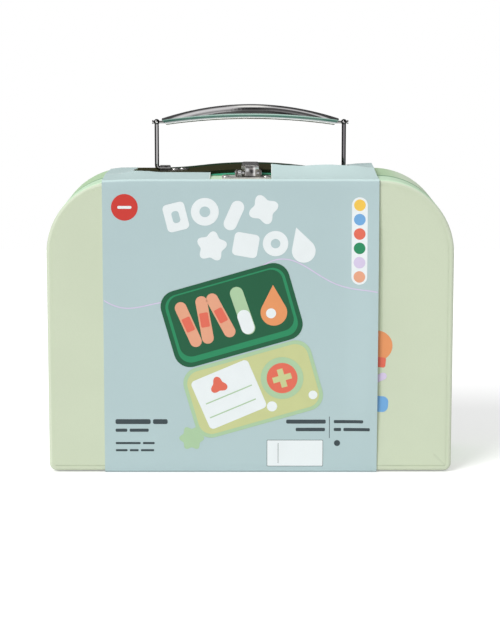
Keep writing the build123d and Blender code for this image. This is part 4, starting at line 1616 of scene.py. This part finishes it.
@dataclass
class Latch(SubAssembly):
    """The latch: a plate with two ears, the pin and spring, the boxed lever, and the catch on the base."""

    plate_sheet: float = 0.9 * MM
    # where the painted shade lies on the plate's ears and right end
    ears_back: float = -28 * MM
    right_ear: float = 5.9 * MM
    shaded_x: Span = (6.2 * MM, 12.5 * MM)
    shaded_front: float = -31 * MM
    lever_sheet: float = 0.5 * MM
    # where the painted reflection lies in the lever's front: its dim face, a dark patch, a lit pane and a
    # beige flank
    dim_x: Span = (-3.3 * MM, 1.9 * MM)
    deep_x: Span = (-0.3 * MM, 1.9 * MM)
    deep_drop: Point2 = (5.2 * MM, 2.6 * MM)
    pane_x: Span = (-2.9 * MM, -1.0 * MM)
    pane_drop: Point2 = (3.9 * MM, 1.9 * MM)
    flank_x: float = -3.6 * MM
    flank_depth: float = 3 * MM

    def finishes(self) -> dict[Finish, tuple[str, ...]]:
        """The latch's platings.

        Returns:
            The nodes that each finish goes on.
        """
        steel = Plating("spring_steel", Tone.SPRING_STEEL, roughness=0.35)
        return {
            NICKEL: ("latch_rivets", "catch_rivets"),
            self.plate_nickel(): ("latch_plate", "latch_catch"),
            self.lever_nickel(): ("latch_lever",),
            steel: ("latch_spring", "latch_pin"),
        }

    def plate_nickel(self) -> Plating:
        """The plate's plating: duller, with painted shade on both standing ears and at its right end.

        Returns:
            The finish.
        """
        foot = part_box("latch_plate")[0].z + self.plate_sheet
        # painted shade on both standing ears
        ears = (
            Zone(Tone.DARK_STEEL, x=x, y=(None, self.ears_back), z=(foot, None), fade=0.3 * MM)
            for x in ((None, 0.0), (self.right_ear, None))
        )
        shaded_end = Zone(Tone.DARK_STEEL, x=self.shaded_x, y=(self.shaded_front, None), fade=0.6 * MM)
        zones = (*ears, shaded_end)
        return Plating("latch_plate_nickel", **UNEVEN, roughness=0.34, metal=0.45, zones=zones)

    def lever_nickel(self) -> Plating:
        """The lever's plating, with a painted reflection of a dim room with one lit window pane in its front
        face.

        Returns:
            The finish.
        """
        low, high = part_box("latch_lever")
        front = low.y + self.lever_sheet
        deep_z, pane_z = ((high.z - foot, high.z - head) for foot, head in (self.deep_drop, self.pane_drop))
        # painted reflection: a beige left flank, a dim face, a dark patch and a lit pane
        flank = Zone(
            Tone.MIRRORED_BEIGE, x=(None, self.flank_x), y=(None, front + self.flank_depth), fade=0.4 * MM
        )
        dim = Zone(Tone.MIRRORED_DARK, x=self.dim_x, y=(None, front), fade=0.7 * MM)
        deep = Zone(Tone.MIRRORED_BLACK, x=self.deep_x, y=(None, front), z=deep_z, fade=0.8 * MM)
        pane = Zone(Tone.CARD_CORE, x=self.pane_x, y=(None, front), z=pane_z, fade=0.7 * MM)
        zones = (flank, dim, deep, pane)
        return Plating("lever_nickel", **UNEVEN, roughness=0.2, metal=0.94, zones=zones)


@dataclass
class Tools(SubAssembly):
    """The wooden tools in their insert, and the badge on the bottle, with its sizes in millimetres."""

    cross_size: float = 16
    cross_arm: float = 5
    stripe_step: float = 4

    def finishes(self) -> dict[Finish, tuple[str, ...]]:
        """The insert's flock, the labels' paper and the tools' paints.

        Returns:
            The nodes that each finish goes on.
        """
        flock = dict(fibre=0.3 * MM, contrast=0.14, roughness=0.85, relief=0.06 * MM)
        pale = PaintedWood("pale_green_paint", Tone.PALE_GREEN)
        dark = PaintedWood("near_black_paint", Tone.NEAR_BLACK, sheen=0.28)
        return {
            Paper("insert_flock", Tone.INSERT, **flock): ("tool_insert",),
            Paper("badge_paper", Tone.LABEL): ("bottle_label", "thermometer_scale"),
            PaintedWood("salmon_spotted_paint", Tone.SALMON, spots=9 * MM): ("scope_body", "hammer_head"),
            PaintedWood("coral_paint", Tone.CORAL): ("syringe_barrel", "bottle_cap"),
            pale: ("scope_ring", "syringe_flange", "plunger_knob", "hammer_shaft"),
            dark: ("scope_lens", "syringe_nozzle", "thermometer_tip"),
            PaintedWood("emerald_paint", Tone.EMERALD): ("thermometer_body",),
            PaintedWood("orange_paint", Tone.ORANGE): ("bottle_body", "syringe_plunger"),
        }

    def build(self) -> list[Piece]:
        """Prints a plain cross with three short stripes on the bottle's label.

        Returns:
            The printed pieces.
        """
        low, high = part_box("bottle_label")
        cx, cz = (low.x + high.x) / 2 / MM, (low.z + high.z) / 2 / MM
        sheet = Print("bottle_print", "base", lambda x, z: low.y)
        sheet.add(Tone.CORAL_INK, 1, Loops.cross(cx, cz, self.cross_size, self.cross_arm))
        stripes = (Loops.box(cx, cz + k * self.stripe_step, 2.6, 1.2, 0.5) for k in (-1, 0, 1))
        sheet.add(Tone.WHITE_INK, 2, *stripes)
        return sheet.build()


@dataclass
class HingeCloth:
    """One strip of book cloth glued under both halves, made flat with close rows across the hinge."""

    column: float = 8 * MM
    row: float = 3 * MM
    bend: float = 1.6 * MM
    bend_row: float = 0.4 * MM
    glued_from: float = 2 * MM

    def build(self) -> list[Piece]:
        """Makes the flat strip, with close rows across the hinge.

        Returns:
            The strip.
        """
        base_low, base_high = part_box("hinge_tape_base")
        lid_low, lid_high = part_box("hinge_tape_lid")
        thickness = base_high.z - base_low.z
        middle = (base_low.z + base_high.z) / 2
        seam = (lid_high.y + base_low.y) / 2
        rows = spread(lid_low.y, seam - self.glued_from, self.row)
        rows += spread(seam - self.bend, seam + self.bend, self.bend_row)
        rows += spread(seam + self.glued_from, base_high.y, self.row)
        columns = spread(base_low.x, base_high.x, self.column)
        slab = self._slab(columns, rows, (middle - thickness / 2, middle + thickness / 2))
        strip = piece_from(slab, "hinge_cloth", Cloth("book_cloth", Tone.HINGE))
        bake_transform(strip)
        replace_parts(strip, "hinge_tape_base", "hinge_tape_lid")
        return [strip]

    @staticmethod
    def _slab(columns: list[float], rows: list[float], levels: Point2) -> bmesh.types.BMesh:
        """A closed slab of cells.

        Args:
            columns: X of each column.
            rows: Y of each row.
            levels: Z of the lower and the upper face.

        Returns:
            The worked mesh.
        """
        work = bmesh.new()
        sides = [[[work.verts.new((x, y, z)) for x in columns] for y in rows] for z in levels]
        for side in sides:
            for lower, upper in zip(side, side[1:]):
                for i in range(len(columns) - 1):
                    work.faces.new((lower[i], lower[i + 1], upper[i + 1], upper[i]))
        bottom, top = sides
        for j in range(len(rows) - 1):
            for i in (0, -1):
                work.faces.new((bottom[j][i], bottom[j + 1][i], top[j + 1][i], top[j][i]))
        for i in range(len(columns) - 1):
            for j in (0, -1):
                work.faces.new((bottom[j][i], bottom[j][i + 1], top[j][i + 1], top[j][i]))
        bmesh.ops.recalc_face_normals(work, faces=work.faces[:])
        return work


# ---------------------------------------------------------------- studio


# what mirrors see in three parts of the room, from left to right: pairs of degrees from the front
# horizon, over the top, to the rear horizon, and brightness
ROOM_LEFT = (
    (-24, 0.08), (-14, 0.5), (0, 0.35), (18, 0.3), (32, 0.27), (36, 0.06), (42, 0.06), (47, 0.45),
    (54, 0.45), (60, 0.25), (66, 0.25), (72, 0.45), (80, 0.5), (88, 0.7), (98, 0.7), (112, 0.5),
    (123, 0.1), (132, 0.06), (180, 0.08),
)
ROOM_MIDDLE = (
    (-24, 0.08), (-14, 0.85), (-2, 0.85), (4, 0.35), (16, 0.35), (23, 0.08), (44, 0.06), (50, 0.13),
    (57, 0.1), (66, 0.05), (75, 0.015), (84, 0.03), (90, 0.3), (97, 0.6), (104, 1.0), (120, 1.0),
    (128, 0.14), (180, 0.06),
)
ROOM_RIGHT = (
    (-24, 0.08), (-14, 0.6), (-2, 0.6), (4, 0.3), (22, 0.35), (30, 0.15), (36, 0.027), (50, 0.036),
    (56, 0.2), (62, 0.22), (68, 0.12), (76, 0.08), (92, 0.07), (98, 0.5), (106, 0.65), (114, 0.3),
    (122, 0.06), (180, 0.05),
)
WHITE: Colour = (1, 1, 1, 1)


@dataclass(frozen=True)
class Studio:
    """A pale table, soft daylight from the front left, a banded room for mirrors, and the view."""

    view_place: Point3 = (-0.2 * MM, -1411 * MM, 337 * MM)
    view_tilt: float = 9.4
    view_lens: float = 117.8
    view_reach: float = 20
    film_width: float = 36
    sun_strength: float = 1.9
    sun_spread: float = 28.0
    sun_way: Point3 = (0.5, 0.62, -0.62)
    ambient: float = 0.62
    table_x: Point2 = (-0.9, 0.9)
    table_y: Point2 = (-1.5, 1.1)
    table_level: float = -0.15 * MM
    table_colour: Colour = (0.86, 0.86, 0.86, 1)
    table_glow: float = 0.3
    middle_from: Point2 = (-0.10, -0.02)
    right_from: Point2 = (0.03, 0.10)
    room_blue: float = 1.06

    def build(self) -> None:
        """Sets up the table, the lights and the camera."""
        self._table()
        self._sky()
        self._sun()
        self._camera()
        bpy.context.scene.view_settings.view_transform = "Standard"

    @staticmethod
    def _rays(sheet: NodeSheet, first: str, *others: str) -> Socket:
        """Whether a ray is of one of some kinds.

        Args:
            sheet: The node tree to add to.
            first: The light path node's output for one kind, such as "Is Camera Ray".
            others: Its outputs for the other kinds.

        Returns:
            A socket that is 1 for such a ray.
        """
        rays = sheet.add("ShaderNodeLightPath")
        total = rays.outputs[first]
        for kind in others:
            total = sheet.math("MAXIMUM", total, rays.outputs[kind])
        return total

    def _table(self) -> None:
        """The pale floor, which looks white and keeps the shadow."""
        (x0, x1), (y0, y1) = self.table_x, self.table_y
        corners = ((x0, y0), (x1, y0), (x1, y1), (x0, y1))
        work = bmesh.new()
        work.faces.new([work.verts.new((x, y, self.table_level)) for x, y in corners])
        floor = piece_from(work, "studio_table")
        material = bpy.data.materials.new("table_white")
        material.use_nodes = True
        sheet = NodeSheet(material.node_tree)
        seen = self._rays(sheet, "Is Camera Ray", "Is Glossy Ray", "Is Transmission Ray")
        matt = sheet.shader("ShaderNodeBsdfDiffuse", Color=self.table_colour)
        glow = sheet.shader("ShaderNodeEmission", Strength=sheet.math("MULTIPLY", seen, self.table_glow))
        sheet.end(sheet.join("ShaderNodeAddShader", matt, glow))
        floor.data.materials.append(material)

    def _sky(self) -> None:
        """White round the object for the eye, an even soft light, and a banded room for mirrors."""
        world = bpy.data.worlds.new("studio_sky")
        bpy.context.scene.world = world
        world.use_nodes = True
        sheet = NodeSheet(world.node_tree)
        soft = sheet.shader("ShaderNodeBackground", Color=WHITE, Strength=self.ambient)
        plain = sheet.shader("ShaderNodeBackground", Color=WHITE)
        room = sheet.shader("ShaderNodeBackground", Color=self._room(sheet))
        clear = self._rays(sheet, "Is Camera Ray", "Is Transmission Ray")
        seen = sheet.join("ShaderNodeMixShader", clear, soft, plain)
        shown = sheet.join("ShaderNodeMixShader", self._rays(sheet, "Is Glossy Ray"), seen, room)
        sheet.end(shown, "ShaderNodeOutputWorld")

    def _room(self, sheet: NodeSheet) -> Socket:
        """What polished metal mirrors: dark and light bands that arch over the room from front to back.

        Args:
            sheet: The world's node tree.

        Returns:
            The colour socket.
        """
        across, depth, height = (sheet.part("Generated", axis) for axis in "XYZ")
        arc = sheet.math("ARCTAN2", height, sheet.math("MULTIPLY", depth, -1))
        turn = sheet.math("ADD", sheet.math("DIVIDE", arc, math.tau), 0.5)

        def bands(stops: Sequence[Point2]) -> Socket:
            """The slightly blue greys of one part of the room."""
            greys = ((0.5 + degrees / 360, (v, v, min(1.0, v * self.room_blue), 1)) for degrees, v in stops)
            return sheet.bands(turn, tuple(greys))

        shown = bands(ROOM_LEFT)
        for (low, high), stops in ((self.middle_from, ROOM_MIDDLE), (self.right_from, ROOM_RIGHT)):
            shown = sheet.mix(sheet.ramp(across, low, high), shown, bands(stops))
        return shown

    def _sun(self) -> None:
        """The soft main light, from the front left and above."""
        light = bpy.data.lights.new("studio_sun", "SUN")
        light.energy = self.sun_strength
        light.angle = math.radians(self.sun_spread)
        lamp = bpy.data.objects.new("studio_sun", light)
        lamp.rotation_euler = Vector(self.sun_way).to_track_quat("-Z", "Y").to_euler()
        bpy.context.scene.collection.objects.link(lamp)

    def _camera(self) -> None:
        """The camera, level in roll and tilted down."""
        data = bpy.data.cameras.new("view")
        data.lens = self.view_lens
        data.sensor_width = self.film_width
        data.clip_end = self.view_reach
        camera = bpy.data.objects.new("view", data)
        camera.location = self.view_place
        camera.rotation_euler = Euler((math.radians(90 - self.view_tilt), 0, 0))
        bpy.context.scene.collection.objects.link(camera)
        bpy.context.scene.camera = camera


def main() -> None:
    """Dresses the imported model, adds the made pieces and sets up the studio."""
    logging.basicConfig(level=logging.INFO)
    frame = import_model()
    lid, tools, sleeve = Lid(), Tools(), Sleeve()
    dressed: set[str] = set()
    for group in (lid, Base(), Handle(), Latch(), tools):
        dressed |= group.dress(frame["nodes"])
    for name in sorted(set(frame["nodes"]) - dressed):
        log.info("a made piece stands for %s", name)
    for maker in (sleeve, SleevePrint(sleeve), lid, tools, HingeCloth()):
        for piece in maker.build():
            log.info("made %s", piece.name)
    Studio().build()


if __name__ == "__main__":
    main()
